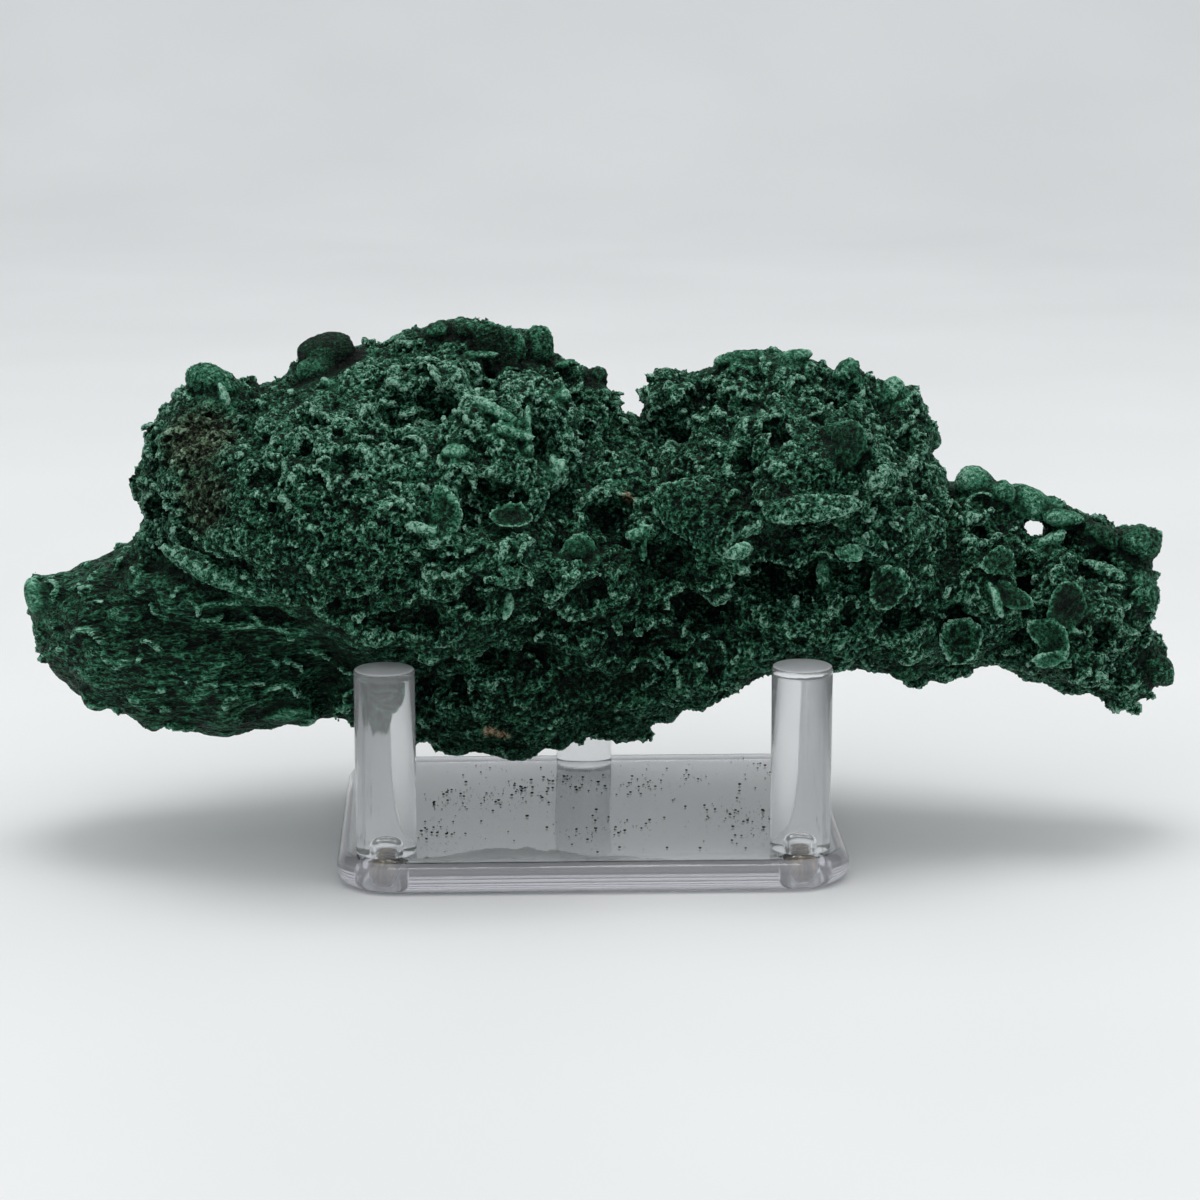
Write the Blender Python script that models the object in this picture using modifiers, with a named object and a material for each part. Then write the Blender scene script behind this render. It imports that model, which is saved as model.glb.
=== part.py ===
"""Malachite specimen, 0.24 m long, resting on a clear stand of one plate and three pegs.

Metres, +Z up, +X along the stone's length, the viewer at -Y. The origin is the middle of the
plate's underside. The stone is one naturally grown piece: rounded lumps are grown together by a
voxel remesh, pits are cut into them, the crust is roughened and the result is thinned out.
The two front pegs are screwed on from below, the back peg is cemented to the plate.
"""

import math
import random

import bmesh
import bpy
from mathutils import Matrix

# Stand
PLATE_WIDTH = 0.102
PLATE_DEPTH = 0.085
PLATE_THICKNESS = 0.006
PLATE_CORNER_RADIUS = 0.012
PLATE_CORNER_STEPS = 6
PLATE_EDGE_RADIUS = 0.0028
PLATE_EDGE_STEPS = 3
PEG_RADIUS = 0.006
PEG_LENGTH = 0.0375
PEG_CHAMFER = 0.0007
PEG_GROOVE_DROP = 0.0016
PEG_GROOVE_DEPTH = 0.00025
PEG_SIDES = 28
PEG_PLACES = {
    "front_left": (-0.041, -0.0325),
    "front_right": (0.041, -0.0325),
    "back": (0.0, 0.033),
}

# Screws under the front pegs
SCREWED_PEGS = ("front_left", "front_right")
SCREW_RADIUS = 0.0018
SCREW_HEAD_RADIUS = 0.0042
SCREW_HEAD_HEIGHT = 0.0024
SCREW_RIM = 0.0004
SCREW_RECESS = 0.0006
SCREW_LENGTH = 0.0070
SCREW_TIP_HEIGHT = 0.0023
SCREW_TIP_ROUNDING = 0.0005
SCREW_SIDES = 18
SCREW_SOCKET_RADIUS = 0.0013
SCREW_SOCKET_DEPTH = 0.0014
BLIND_HOLE_RADIUS = 0.0022
BLIND_HOLE_DEPTH = 0.0038

# Clearance between pieces that touch
GAP = 0.0003

# Stone: the voxels that join it, from coarse to fine
ROUGH_VOXEL = 0.0030
JOIN_VOXEL = 0.0015
CRUST_VOXEL = 0.0013
SOFTEN_FACTOR = 0.5
SOFTEN_PASSES = 2
STONE_TRIANGLES = 7400
SEED = 11

# Nodules scattered over the stone
NODULE_COUNT = 190
NODULE_SPACING = 0.0085
NODULE_SIZES = (0.0022, 0.0046)
NODULE_STRETCH = (0.75, 1.25)
NODULE_LEAN = 60
NODULE_SINK = 0.45

# Clouds that roughen the stone: size of a cloud, height and the level that stays in place
SWELLS = (0.016, 0.0030, 0.5)
CRUST = (0.0075, 0.0050, 0.2)

# Bays in the walls of each pit, as shares of the pit's radii
PIT_BAYS = 3
PIT_BAY_SPREAD = 0.75
PIT_BAY_SIZES = (0.4, 0.65)
PIT_BAY_LEAST = 0.0016
PIT_BAY_LEAN = 40

# Lumps of the stone: centre, radii and lean in degrees, a positive lean lowering the +X end
LUMPS = {
    "left lobe": (
        ((-0.080, 0.000, 0.0425), (0.032, 0.025, 0.0170), 2),
        ((-0.101, 0.000, 0.0465), (0.0105, 0.015, 0.0110), 10),
        ((-0.1095, -0.002, 0.0500), (0.0045, 0.006, 0.0060), 0),
        ((-0.090, -0.002, 0.0520), (0.018, 0.019, 0.0095), -16),
        ((-0.076, 0.000, 0.0335), (0.018, 0.020, 0.0090), 3),
        ((-0.061, -0.002, 0.0315), (0.009, 0.014, 0.0055), -10),
        ((-0.070, -0.010, 0.0540), (0.025, 0.020, 0.0075), 14),
        ((-0.072, 0.020, 0.0580), (0.015, 0.012, 0.0090), 0),
    ),
    "dome": (
        ((-0.047, 0.000, 0.0700), (0.041, 0.042, 0.0260), 0),
        ((-0.074, 0.002, 0.0760), (0.0155, 0.030, 0.0175), 0),
        ((-0.084, 0.000, 0.0650), (0.007, 0.016, 0.0090), 0),
        ((-0.024, 0.002, 0.0740), (0.028, 0.038, 0.0285), 0),
        ((-0.038, 0.004, 0.0910), (0.017, 0.024, 0.0105), 0),
        ((-0.033, -0.008, 0.0560), (0.033, 0.029, 0.0150), 0),
        ((-0.0745, -0.006, 0.0885), (0.008, 0.011, 0.0080), 0),
        ((-0.053, 0.006, 0.0948), (0.0065, 0.009, 0.0072), -20),
        ((-0.046, 0.006, 0.0945), (0.0055, 0.008, 0.0055), 30),
        ((-0.040, 0.034, 0.0620), (0.020, 0.012, 0.0100), 15),
    ),
    "peak": (
        ((-0.033, 0.002, 0.0990), (0.0055, 0.008, 0.0052), 0),
        ((-0.024, 0.004, 0.0985), (0.0085, 0.011, 0.0085), 0),
        ((-0.015, 0.003, 0.0960), (0.0068, 0.011, 0.0088), 20),
        ((-0.0052, 0.000, 0.0960), (0.0032, 0.004, 0.0042), 15),
        ((0.001, 0.000, 0.0900), (0.0042, 0.007, 0.0055), 0),
        ((-0.014, -0.014, 0.0890), (0.010, 0.010, 0.0090), 0),
    ),
    "saddle": (
        ((0.003, 0.004, 0.0640), (0.026, 0.036, 0.0210), 0),
        ((0.005, -0.004, 0.0520), (0.025, 0.027, 0.0150), 0),
        ((0.007, 0.000, 0.0800), (0.007, 0.012, 0.0065), 15),
    ),
    "shoulder": (
        ((0.038, 0.000, 0.0665), (0.029, 0.035, 0.0285), 0),
        ((0.056, 0.000, 0.0640), (0.0165, 0.030, 0.0255), 0),
        ((0.0175, 0.000, 0.0900), (0.0055, 0.009, 0.0075), 0),
        ((0.0225, 0.001, 0.0890), (0.004, 0.007, 0.0060), 0),
        ((0.030, 0.000, 0.0920), (0.0070, 0.012, 0.0072), -10),
        ((0.039, 0.001, 0.0925), (0.0065, 0.012, 0.0075), 0),
        ((0.046, 0.000, 0.0880), (0.0065, 0.012, 0.0070), 20),
        ((0.0525, -0.003, 0.0910), (0.0045, 0.007, 0.0070), 0),
        ((0.059, 0.000, 0.0880), (0.004, 0.008, 0.0070), 0),
        ((0.0635, -0.002, 0.0860), (0.0042, 0.008, 0.0085), 0),
        ((0.066, 0.002, 0.0800), (0.0045, 0.010, 0.0075), 0),
        ((0.038, -0.026, 0.0680), (0.017, 0.013, 0.0055), 0),
        ((0.030, 0.030, 0.0780), (0.014, 0.010, 0.0080), 0),
    ),
    "belly": (
        ((-0.016, 0.002, 0.0430), (0.029, 0.025, 0.0255), 0),
        ((0.007, 0.002, 0.0440), (0.0225, 0.024, 0.0205), 0),
        ((-0.041, 0.003, 0.0400), (0.0155, 0.024, 0.0180), 0),
        ((-0.027, 0.000, 0.0245), (0.009, 0.009, 0.0055), 0),
        ((-0.016, 0.002, 0.0224), (0.008, 0.009, 0.0048), 0),
        ((-0.008, 0.000, 0.0232), (0.006, 0.008, 0.0042), 0),
        ((0.006, -0.002, 0.0250), (0.006, 0.007, 0.0045), 0),
        ((0.023, 0.000, 0.0405), (0.016, 0.024, 0.0105), -22),
        ((0.040, -0.004, 0.0470), (0.024, 0.024, 0.0100), 0),
        ((0.057, 0.000, 0.0490), (0.023, 0.026, 0.0125), 4),
        ((0.062, -0.002, 0.0362), (0.0028, 0.003, 0.0035), 0),
        ((0.0675, -0.002, 0.0372), (0.0038, 0.004, 0.0045), 0),
    ),
    "tail": (
        ((0.076, 0.000, 0.0535), (0.016, 0.023, 0.0185), 0),
        ((0.091, 0.000, 0.0490), (0.016, 0.017, 0.0150), 0),
        ((0.105, 0.000, 0.0465), (0.010, 0.013, 0.0145), 0),
        ((0.080, -0.002, 0.0695), (0.0045, 0.006, 0.0055), 0),
        ((0.0855, -0.002, 0.0685), (0.003, 0.005, 0.0040), 0),
        ((0.087, -0.003, 0.0665), (0.004, 0.005, 0.0045), 0),
        ((0.092, -0.003, 0.0690), (0.0050, 0.0040, 0.0023), 10),
        ((0.098, -0.003, 0.0662), (0.0050, 0.0045, 0.0024), 15),
        ((0.104, 0.000, 0.0610), (0.006, 0.009, 0.0045), 15),
        ((0.113, 0.000, 0.0590), (0.0040, 0.006, 0.0048), 0),
        ((0.1135, 0.000, 0.0500), (0.0035, 0.008, 0.0065), 0),
        ((0.097, 0.000, 0.0385), (0.013, 0.013, 0.0065), 3),
        ((0.109, 0.000, 0.0345), (0.008, 0.009, 0.0055), 0),
        ((0.1145, 0.000, 0.0350), (0.0045, 0.006, 0.0050), 0),
        ((0.1105, -0.001, 0.0310), (0.0035, 0.005, 0.0030), 0),
    ),
    "plates and blades": (
        ((-0.029, -0.038, 0.0680), (0.0060, 0.0055, 0.0085), 8),
        ((-0.017, -0.038, 0.0665), (0.0065, 0.006, 0.0045), 0),
        ((-0.004, -0.034, 0.0600), (0.0085, 0.007, 0.0045), 30),
        ((0.053, -0.029, 0.0820), (0.0075, 0.007, 0.0045), 35),
        ((0.100, -0.015, 0.0480), (0.0075, 0.005, 0.0065), 0),
        ((0.095, -0.016, 0.0405), (0.0085, 0.006, 0.0040), 20),
    ),
    "seats over the pegs": (
        ((-0.041, -0.023, 0.0490), (0.009, 0.007, 0.0060), 0),
        ((0.041, -0.023, 0.0490), (0.010, 0.007, 0.0060), 0),
        ((0.000, 0.033, 0.0505), (0.012, 0.009, 0.0075), 0),
    ),
}

# Pits and hollows cut into the lumps: centre, radii and lean
PITS = (
    ((-0.031, -0.022, 0.0930), (0.006, 0.010, 0.0040), 0),
    ((-0.039, -0.030, 0.0885), (0.005, 0.008, 0.0028), 0),
    ((-0.022, -0.038, 0.0735), (0.007, 0.008, 0.0035), -8),
    ((-0.009, -0.027, 0.0860), (0.002, 0.009, 0.0060), 8),
    ((-0.020, -0.008, 0.0985), (0.003, 0.007, 0.0040), 0),
    ((0.003, -0.038, 0.0790), (0.012, 0.012, 0.0080), 0),
    ((0.004, -0.032, 0.0680), (0.005, 0.008, 0.0035), 0),
    ((0.0175, -0.028, 0.0830), (0.004, 0.008, 0.0030), 0),
    ((0.0315, -0.038, 0.0770), (0.0025, 0.008, 0.0070), 5),
    ((0.0385, -0.036, 0.0575), (0.0125, 0.017, 0.0064), 0),
    ((0.0240, -0.036, 0.0530), (0.0080, 0.011, 0.0045), -20),
    ((0.0110, -0.034, 0.0455), (0.0090, 0.009, 0.0038), -15),
    ((0.0540, -0.031, 0.0550), (0.0045, 0.008, 0.0040), 0),
    ((0.0100, -0.036, 0.0550), (0.008, 0.009, 0.0045), 0),
    ((-0.005, -0.036, 0.0460), (0.006, 0.009, 0.0035), 8),
    ((-0.014, -0.028, 0.0380), (0.005, 0.007, 0.0060), 0),
    ((0.0520, -0.022, 0.0905), (0.004, 0.008, 0.0028), 0),
    ((0.0695, -0.022, 0.0715), (0.003, 0.006, 0.0030), 0),
    ((0.0790, -0.020, 0.0655), (0.003, 0.007, 0.0045), 0),
    ((0.0880, -0.017, 0.0560), (0.0045, 0.007, 0.0030), 0),
    ((0.1040, -0.012, 0.0590), (0.006, 0.007, 0.0022), 10),
    ((0.1110, -0.012, 0.0420), (0.0035, 0.008, 0.0030), 0),
    ((0.0870, -0.018, 0.0450), (0.003, 0.006, 0.0045), 0),
    ((-0.066, -0.029, 0.0470), (0.013, 0.008, 0.0035), 8),
    ((-0.064, -0.025, 0.0350), (0.004, 0.006, 0.0035), 0),
    ((-0.086, -0.018, 0.0720), (0.004, 0.007, 0.0030), 0),
    ((-0.050, 0.045, 0.0700), (0.009, 0.008, 0.0060), 10),
    ((-0.020, 0.042, 0.0880), (0.007, 0.008, 0.0050), 0),
    ((0.018, 0.040, 0.0620), (0.008, 0.008, 0.0060), 0),
    ((0.050, 0.036, 0.0700), (0.009, 0.008, 0.0050), -15),
    ((0.076, 0.024, 0.0530), (0.006, 0.007, 0.0050), 0),
    ((-0.086, 0.025, 0.0440), (0.009, 0.007, 0.0045), 10),
    # Open space over the front of the two front pegs
    ((-0.041, -0.0400, 0.0452), (0.0085, 0.0095, 0.0030), 0),
    ((0.041, -0.0400, 0.0452), (0.0085, 0.0095, 0.0030), 0),
)

# The see-through hole under the arch on the tail: centre, radii and slope in degrees
ARCH_HOLE_CENTRE = (0.0915, 0.000, 0.0640)
ARCH_HOLE_RADII = (0.0042, 0.045, 0.0030)
ARCH_HOLE_SLOPE = 12

CLEAR_ACRYLIC = (0.93, 0.95, 0.95)
MALACHITE_GREEN = (0.012, 0.045, 0.026)
SCREW_STEEL = (0.42, 0.37, 0.27)

PLATE_TOP = PLATE_THICKNESS
PEG_FOOT = PLATE_TOP + GAP
PEG_TOP = PLATE_TOP + PEG_LENGTH
SCREW_TIP = SCREW_RECESS + SCREW_LENGTH
BLIND_HOLE_END = PEG_FOOT + BLIND_HOLE_DEPTH


def clear_scene():
    for obj in list(bpy.data.objects):
        bpy.data.objects.remove(obj, do_unlink=True)


def new_collection(name):
    collection = bpy.data.collections.new(name)
    bpy.context.scene.collection.children.link(collection)
    return collection


def new_material(name, colour, roughness, metallic=0.0, transmission=0.0, ior=1.5):
    material = bpy.data.materials.new(name)
    material.use_nodes = True
    shader = material.node_tree.nodes["Principled BSDF"]
    shader.inputs["Base Color"].default_value = (*colour, 1.0)
    shader.inputs["Roughness"].default_value = roughness
    shader.inputs["Metallic"].default_value = metallic
    shader.inputs["Transmission Weight"].default_value = transmission
    shader.inputs["IOR"].default_value = ior
    return material


def new_object(name, mesh, collection, material=None):
    obj = bpy.data.objects.new(name, mesh)
    collection.objects.link(obj)
    if material:
        mesh.materials.clear()
        mesh.materials.append(material)
    return obj


def mesh_from_bmesh(name, bm):
    mesh = bpy.data.meshes.new(name)
    bm.to_mesh(mesh)
    bm.free()
    return mesh


def evaluated_mesh(obj):
    """A plain mesh of the object as its modifiers leave it."""
    graph = bpy.context.evaluated_depsgraph_get()
    return bpy.data.meshes.new_from_object(obj.evaluated_get(graph))


def make_cutter(name, mesh, cutters):
    cutter = new_object(name, mesh, cutters)
    cutter.hide_render = True
    cutter.display_type = "WIRE"
    return cutter


def cut(obj, cutter):
    boolean = obj.modifiers.new(cutter.name, "BOOLEAN")
    boolean.operation = "DIFFERENCE"
    boolean.solver = "EXACT"
    boolean.object = cutter


def smooth_round_faces(mesh, angle_degrees=35):
    mesh.shade_smooth()
    mesh.set_sharp_from_angle(angle=math.radians(angle_degrees))


def turned_mesh(name, profile, sides):
    """A closed solid of revolution about Z. The profile's (radius, height) points run from the
    top of the axis down the outer side to the bottom of the axis."""
    outline = bpy.data.meshes.new(name + " profile")
    points = [(radius, 0.0, height) for radius, height in profile]
    edges = [(i, i + 1) for i in range(len(points) - 1)]
    outline.from_pydata(points, edges, [])
    turned = bpy.data.objects.new(name + " profile", outline)
    bpy.context.scene.collection.objects.link(turned)
    screw = turned.modifiers.new("Turn", "SCREW")
    screw.steps = sides
    screw.render_steps = sides
    screw.use_merge_vertices = True
    screw.merge_threshold = 0.00001
    mesh = evaluated_mesh(turned)
    mesh.name = name
    bpy.data.objects.remove(turned, do_unlink=True)
    smooth_round_faces(mesh)
    return mesh


def vertical_edges(bm):
    """The edges of a box that stand upright."""
    return [e for e in bm.edges if abs(e.verts[0].co.z - e.verts[1].co.z) > PLATE_THICKNESS / 2]


def rim_edges(bm):
    """The edges around the top and the bottom face of a slab."""
    return [e for e in bm.edges if any(abs(face.normal.z) > 0.9 for face in e.link_faces)]


def build_plate(parts, cutters, acrylic, hole_mesh):
    bm = bmesh.new()
    middle = Matrix.Translation((0.0, 0.0, PLATE_THICKNESS / 2))
    size = Matrix.Diagonal((PLATE_WIDTH, PLATE_DEPTH, PLATE_THICKNESS, 1.0))
    bmesh.ops.create_cube(bm, size=1.0, matrix=middle @ size)
    bmesh.ops.bevel(
        bm,
        geom=vertical_edges(bm),
        offset=PLATE_CORNER_RADIUS,
        segments=PLATE_CORNER_STEPS,
        profile=0.5,
        affect="EDGES",
    )
    bm.normal_update()
    bmesh.ops.bevel(
        bm,
        geom=rim_edges(bm),
        offset=PLATE_EDGE_RADIUS,
        segments=PLATE_EDGE_STEPS,
        profile=0.5,
        affect="EDGES",
    )
    mesh = mesh_from_bmesh("base_plate", bm)
    plate = new_object("base_plate", mesh, parts, acrylic)
    for place in SCREWED_PEGS:
        hole = make_cutter("screw hole " + place, hole_mesh, cutters)
        hole.location = (*PEG_PLACES[place], 0.0)
        cut(plate, hole)
    return plate


def peg_profile(drilled):
    """A peg with a chamfered top and a fine turned groove below it. A drilled peg also has a
    round-ended blind hole in its foot."""
    groove = PEG_TOP - PEG_GROOVE_DROP
    outside = [
        (0.0, PEG_TOP),
        (PEG_RADIUS - PEG_CHAMFER, PEG_TOP),
        (PEG_RADIUS, PEG_TOP - PEG_CHAMFER),
        (PEG_RADIUS, groove + PEG_GROOVE_DEPTH),
        (PEG_RADIUS - PEG_GROOVE_DEPTH, groove),
        (PEG_RADIUS, groove - PEG_GROOVE_DEPTH),
        (PEG_RADIUS, PEG_FOOT),
    ]
    if not drilled:
        return [*outside, (0.0, PEG_FOOT)]
    hole_shoulder = BLIND_HOLE_END - BLIND_HOLE_RADIUS
    round_end = [
        (
            BLIND_HOLE_RADIUS * math.cos(math.radians(angle)),
            hole_shoulder + BLIND_HOLE_RADIUS * math.sin(math.radians(angle)),
        )
        for angle in (0, 30, 60)
    ]
    return [*outside, (BLIND_HOLE_RADIUS, PEG_FOOT), *round_end, (0.0, BLIND_HOLE_END)]


def screw_profile(clearance=0.0):
    """A countersunk screw, or the hole for it where a clearance is given."""
    radius = SCREW_RADIUS + clearance
    head_radius = SCREW_HEAD_RADIUS + clearance
    head_bottom = SCREW_RECESS
    head_top = SCREW_RECESS + SCREW_HEAD_HEIGHT
    if clearance:
        past = PLATE_THICKNESS
        return [
            (0.0, PLATE_TOP + past),
            (radius, PLATE_TOP + past),
            (radius, head_top + clearance),
            (head_radius, head_bottom + SCREW_RIM),
            (head_radius, -past),
            (0.0, -past),
        ]
    return [
        (0.0, SCREW_TIP),
        (SCREW_RADIUS / 2, SCREW_TIP - SCREW_TIP_ROUNDING),
        (SCREW_RADIUS, SCREW_TIP - SCREW_TIP_HEIGHT),
        (SCREW_RADIUS, head_top),
        (head_radius, head_bottom + SCREW_RIM),
        (head_radius, head_bottom),
        (0.0, head_bottom),
    ]


def build_pegs(parts, acrylic):
    drilled_mesh = turned_mesh("drilled peg", peg_profile(drilled=True), PEG_SIDES)
    plain_mesh = turned_mesh("plain peg", peg_profile(drilled=False), PEG_SIDES)
    for place, (x, y) in PEG_PLACES.items():
        mesh = drilled_mesh if place in SCREWED_PEGS else plain_mesh
        peg = new_object("peg_" + place, mesh, parts, acrylic)
        peg.location = (x, y, 0.0)


def build_screws(parts, cutters, steel):
    mesh = turned_mesh("screw", screw_profile(), SCREW_SIDES)
    bm = bmesh.new()
    bmesh.ops.create_cone(
        bm,
        cap_ends=True,
        segments=6,
        radius1=SCREW_SOCKET_RADIUS,
        radius2=SCREW_SOCKET_RADIUS,
        depth=2 * SCREW_SOCKET_DEPTH,
        matrix=Matrix.Translation((0.0, 0.0, SCREW_RECESS)),
    )
    socket_mesh = mesh_from_bmesh("hex socket", bm)
    for place in SCREWED_PEGS:
        screw = new_object("screw_" + place, mesh, parts, steel)
        screw.location = (*PEG_PLACES[place], 0.0)
        socket = make_cutter("hex socket " + place, socket_mesh, cutters)
        socket.location = screw.location
        cut(screw, socket)


def add_ellipsoid(bm, centre, radii, lean=0.0, slope=0.0, subdivisions=3):
    """A ball stretched to its radii, leant in the front view and sloped away from the viewer."""
    turn = Matrix.Rotation(math.radians(lean), 4, "Y") @ Matrix.Rotation(math.radians(slope), 4, "X")
    place = Matrix.Translation(centre) @ turn @ Matrix.Diagonal((*radii, 1.0))
    bmesh.ops.create_icosphere(bm, subdivisions=subdivisions, radius=1.0, matrix=place)


def joined_lumps():
    bm = bmesh.new()
    for region in LUMPS.values():
        for centre, radii, lean in region:
            add_ellipsoid(bm, centre, radii, lean)
    return bm


def remesh(obj, voxel):
    modifier = obj.modifiers.new("Grow together", "REMESH")
    modifier.mode = "VOXEL"
    modifier.voxel_size = voxel


def soften(obj):
    modifier = obj.modifiers.new("Soften", "SMOOTH")
    modifier.factor = SOFTEN_FACTOR
    modifier.iterations = SOFTEN_PASSES


def roughen(obj, name, clouds, noise_type):
    """Push the surface in and out along its normals by a solid cloud texture. Where the texture
    is at the middle level, the surface stays."""
    scale, height, mid_level = clouds
    texture = bpy.data.textures.new(name, "CLOUDS")
    texture.noise_scale = scale
    texture.noise_type = noise_type
    modifier = obj.modifiers.new(name, "DISPLACE")
    modifier.texture = texture
    modifier.texture_coords = "LOCAL"
    modifier.strength = height
    modifier.mid_level = mid_level


def scattered_places(mesh, count, spacing, generator):
    """Points of the surface with their normals, no two nearer to each other than the spacing."""
    order = list(range(len(mesh.vertices)))
    generator.shuffle(order)
    places = []
    for index in order:
        point = mesh.vertices[index].co.copy()
        if all((point - other).length > spacing for other, _ in places):
            places.append((point, mesh.vertices[index].normal.copy()))
        if len(places) == count:
            break
    return places


def add_nodules(bm, mesh, generator):
    """Small nodules scattered over the whole surface, sunk past their middle in it."""
    for point, normal in scattered_places(mesh, NODULE_COUNT, NODULE_SPACING, generator):
        size = generator.uniform(*NODULE_SIZES)
        radii = [size * generator.uniform(*NODULE_STRETCH) for _ in range(3)]
        lean = generator.uniform(-NODULE_LEAN, NODULE_LEAN)
        add_ellipsoid(bm, point - normal * size * NODULE_SINK, radii, lean, subdivisions=2)


def add_hollow(bm, centre, radii, lean, generator):
    """A pit with uneven walls: one large ball and smaller ones around its middle."""
    add_ellipsoid(bm, centre, radii, lean)
    for _ in range(PIT_BAYS):
        share = [generator.uniform(-PIT_BAY_SPREAD, PIT_BAY_SPREAD) for _ in range(3)]
        bay_centre = [place + radius * part for place, radius, part in zip(centre, radii, share)]
        bay_size = generator.uniform(*PIT_BAY_SIZES)
        bay_radii = [max(radius * bay_size, PIT_BAY_LEAST) for radius in radii]
        bay_lean = lean + generator.uniform(-PIT_BAY_LEAN, PIT_BAY_LEAN)
        add_ellipsoid(bm, bay_centre, bay_radii, bay_lean, subdivisions=2)


def pits_mesh(generator):
    bm = bmesh.new()
    for centre, radii, lean in PITS:
        add_hollow(bm, centre, radii, lean, generator)
    add_ellipsoid(bm, ARCH_HOLE_CENTRE, ARCH_HOLE_RADII, slope=-ARCH_HOLE_SLOPE)
    return mesh_from_bmesh("pits", bm)


def peg_clearance_mesh():
    bm = bmesh.new()
    for x, y in PEG_PLACES.values():
        bmesh.ops.create_cone(
            bm,
            cap_ends=True,
            segments=PEG_SIDES,
            radius1=PEG_RADIUS + GAP,
            radius2=PEG_RADIUS + GAP,
            depth=PEG_TOP + GAP,
            matrix=Matrix.Translation((x, y, (PEG_TOP + GAP) / 2)),
        )
    return mesh_from_bmesh("peg clearance", bm)


def keep_largest_island(mesh):
    """Delete every loose crumb, so that one closed body is left."""
    bm = bmesh.new()
    bm.from_mesh(mesh)
    bm.verts.ensure_lookup_table()
    unseen = set(range(len(bm.verts)))
    islands = []
    while unseen:
        start = unseen.pop()
        island = [start]
        stack = [bm.verts[start]]
        while stack:
            for edge in stack.pop().link_edges:
                for vert in edge.verts:
                    if vert.index in unseen:
                        unseen.remove(vert.index)
                        island.append(vert.index)
                        stack.append(vert)
        islands.append(island)
    islands.sort(key=len, reverse=True)
    crumbs = [bm.verts[index] for island in islands[1:] for index in island]
    bmesh.ops.delete(bm, geom=crumbs, context="VERTS")
    bm.to_mesh(mesh)
    bm.free()


def build_stone(parts, cutters, stone_material):
    generator = random.Random(SEED)
    rough = new_object("rough", mesh_from_bmesh("rough", joined_lumps()), parts)
    remesh(rough, ROUGH_VOXEL)
    bm = joined_lumps()
    add_nodules(bm, evaluated_mesh(rough), generator)
    bpy.data.objects.remove(rough, do_unlink=True)

    pits = make_cutter("pits", pits_mesh(generator), cutters)
    remesh(pits, CRUST_VOXEL)

    grown = new_object("grown", mesh_from_bmesh("grown", bm), parts)
    remesh(grown, JOIN_VOXEL)
    soften(grown)
    cut(grown, pits)
    roughen(grown, "Swells", SWELLS, "SOFT_NOISE")
    roughen(grown, "Crust", CRUST, "HARD_NOISE")
    remesh(grown, CRUST_VOXEL)
    mesh = evaluated_mesh(grown)
    bpy.data.objects.remove(grown, do_unlink=True)
    keep_largest_island(mesh)

    stone = new_object("malachite", mesh, parts, stone_material)
    thin = stone.modifiers.new("Thin out", "DECIMATE")
    triangles = sum(len(polygon.vertices) - 2 for polygon in mesh.polygons)
    thin.ratio = STONE_TRIANGLES / triangles
    thin.use_collapse_triangulate = True
    clearance = make_cutter("peg clearance", peg_clearance_mesh(), cutters)
    cut(stone, clearance)
    return stone


def main():
    clear_scene()
    parts = new_collection("malachite specimen")
    cutters = new_collection("cutters")
    acrylic = new_material("clear acrylic", CLEAR_ACRYLIC, 0.06, transmission=1.0, ior=1.49)
    steel = new_material("brassy steel", SCREW_STEEL, 0.35, metallic=1.0)
    green = new_material("malachite", MALACHITE_GREEN, 0.75)
    hole_mesh = turned_mesh("screw hole", screw_profile(clearance=GAP), SCREW_SIDES)
    build_plate(parts, cutters, acrylic, hole_mesh)
    build_pegs(parts, acrylic)
    build_screws(parts, cutters, steel)
    build_stone(parts, cutters, green)


main()
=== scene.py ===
# %% [markdown]
# # Malachite specimen on a clear stand
#
# The real object is a long piece of fibrous malachite, dark green and velvety, that rests on a
# small clear acrylic stand: one plate, three round pegs and a screw under each of the two front
# pegs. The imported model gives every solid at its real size. This script keeps those places and
# makes the looks: the crust of the stone, the clear plastic, the screws, the crumbs on the plate
# and the studio.

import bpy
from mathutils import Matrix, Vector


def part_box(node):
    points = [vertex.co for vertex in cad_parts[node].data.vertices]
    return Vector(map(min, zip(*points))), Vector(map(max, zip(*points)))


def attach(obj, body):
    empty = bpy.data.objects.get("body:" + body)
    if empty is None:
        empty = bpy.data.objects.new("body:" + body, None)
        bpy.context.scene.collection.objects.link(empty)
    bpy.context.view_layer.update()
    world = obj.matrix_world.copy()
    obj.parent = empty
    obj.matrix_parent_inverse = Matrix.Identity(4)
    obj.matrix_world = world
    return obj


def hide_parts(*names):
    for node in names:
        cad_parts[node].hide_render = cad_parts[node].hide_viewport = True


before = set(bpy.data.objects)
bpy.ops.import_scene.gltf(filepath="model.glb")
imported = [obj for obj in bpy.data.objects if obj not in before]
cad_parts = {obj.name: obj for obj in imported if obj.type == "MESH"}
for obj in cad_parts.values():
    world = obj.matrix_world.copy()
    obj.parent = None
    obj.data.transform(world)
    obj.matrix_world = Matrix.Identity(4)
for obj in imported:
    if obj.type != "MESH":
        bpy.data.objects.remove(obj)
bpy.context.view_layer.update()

# %% Modules and units
import math
import random

import bmesh
import bpy
import numpy as np
from mathutils import Matrix, Vector
from mathutils.bvhtree import BVHTree

MM = 0.001

# %% [markdown]
# ## Small helpers
#
# Everything below leans on a few short functions. Colours are written as sRGB hex values, as a
# paint program shows them, and one function turns them into the linear numbers a shader needs.
# One function adds a node with its settings and its links, in a shader tree or a geometry tree.

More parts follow.
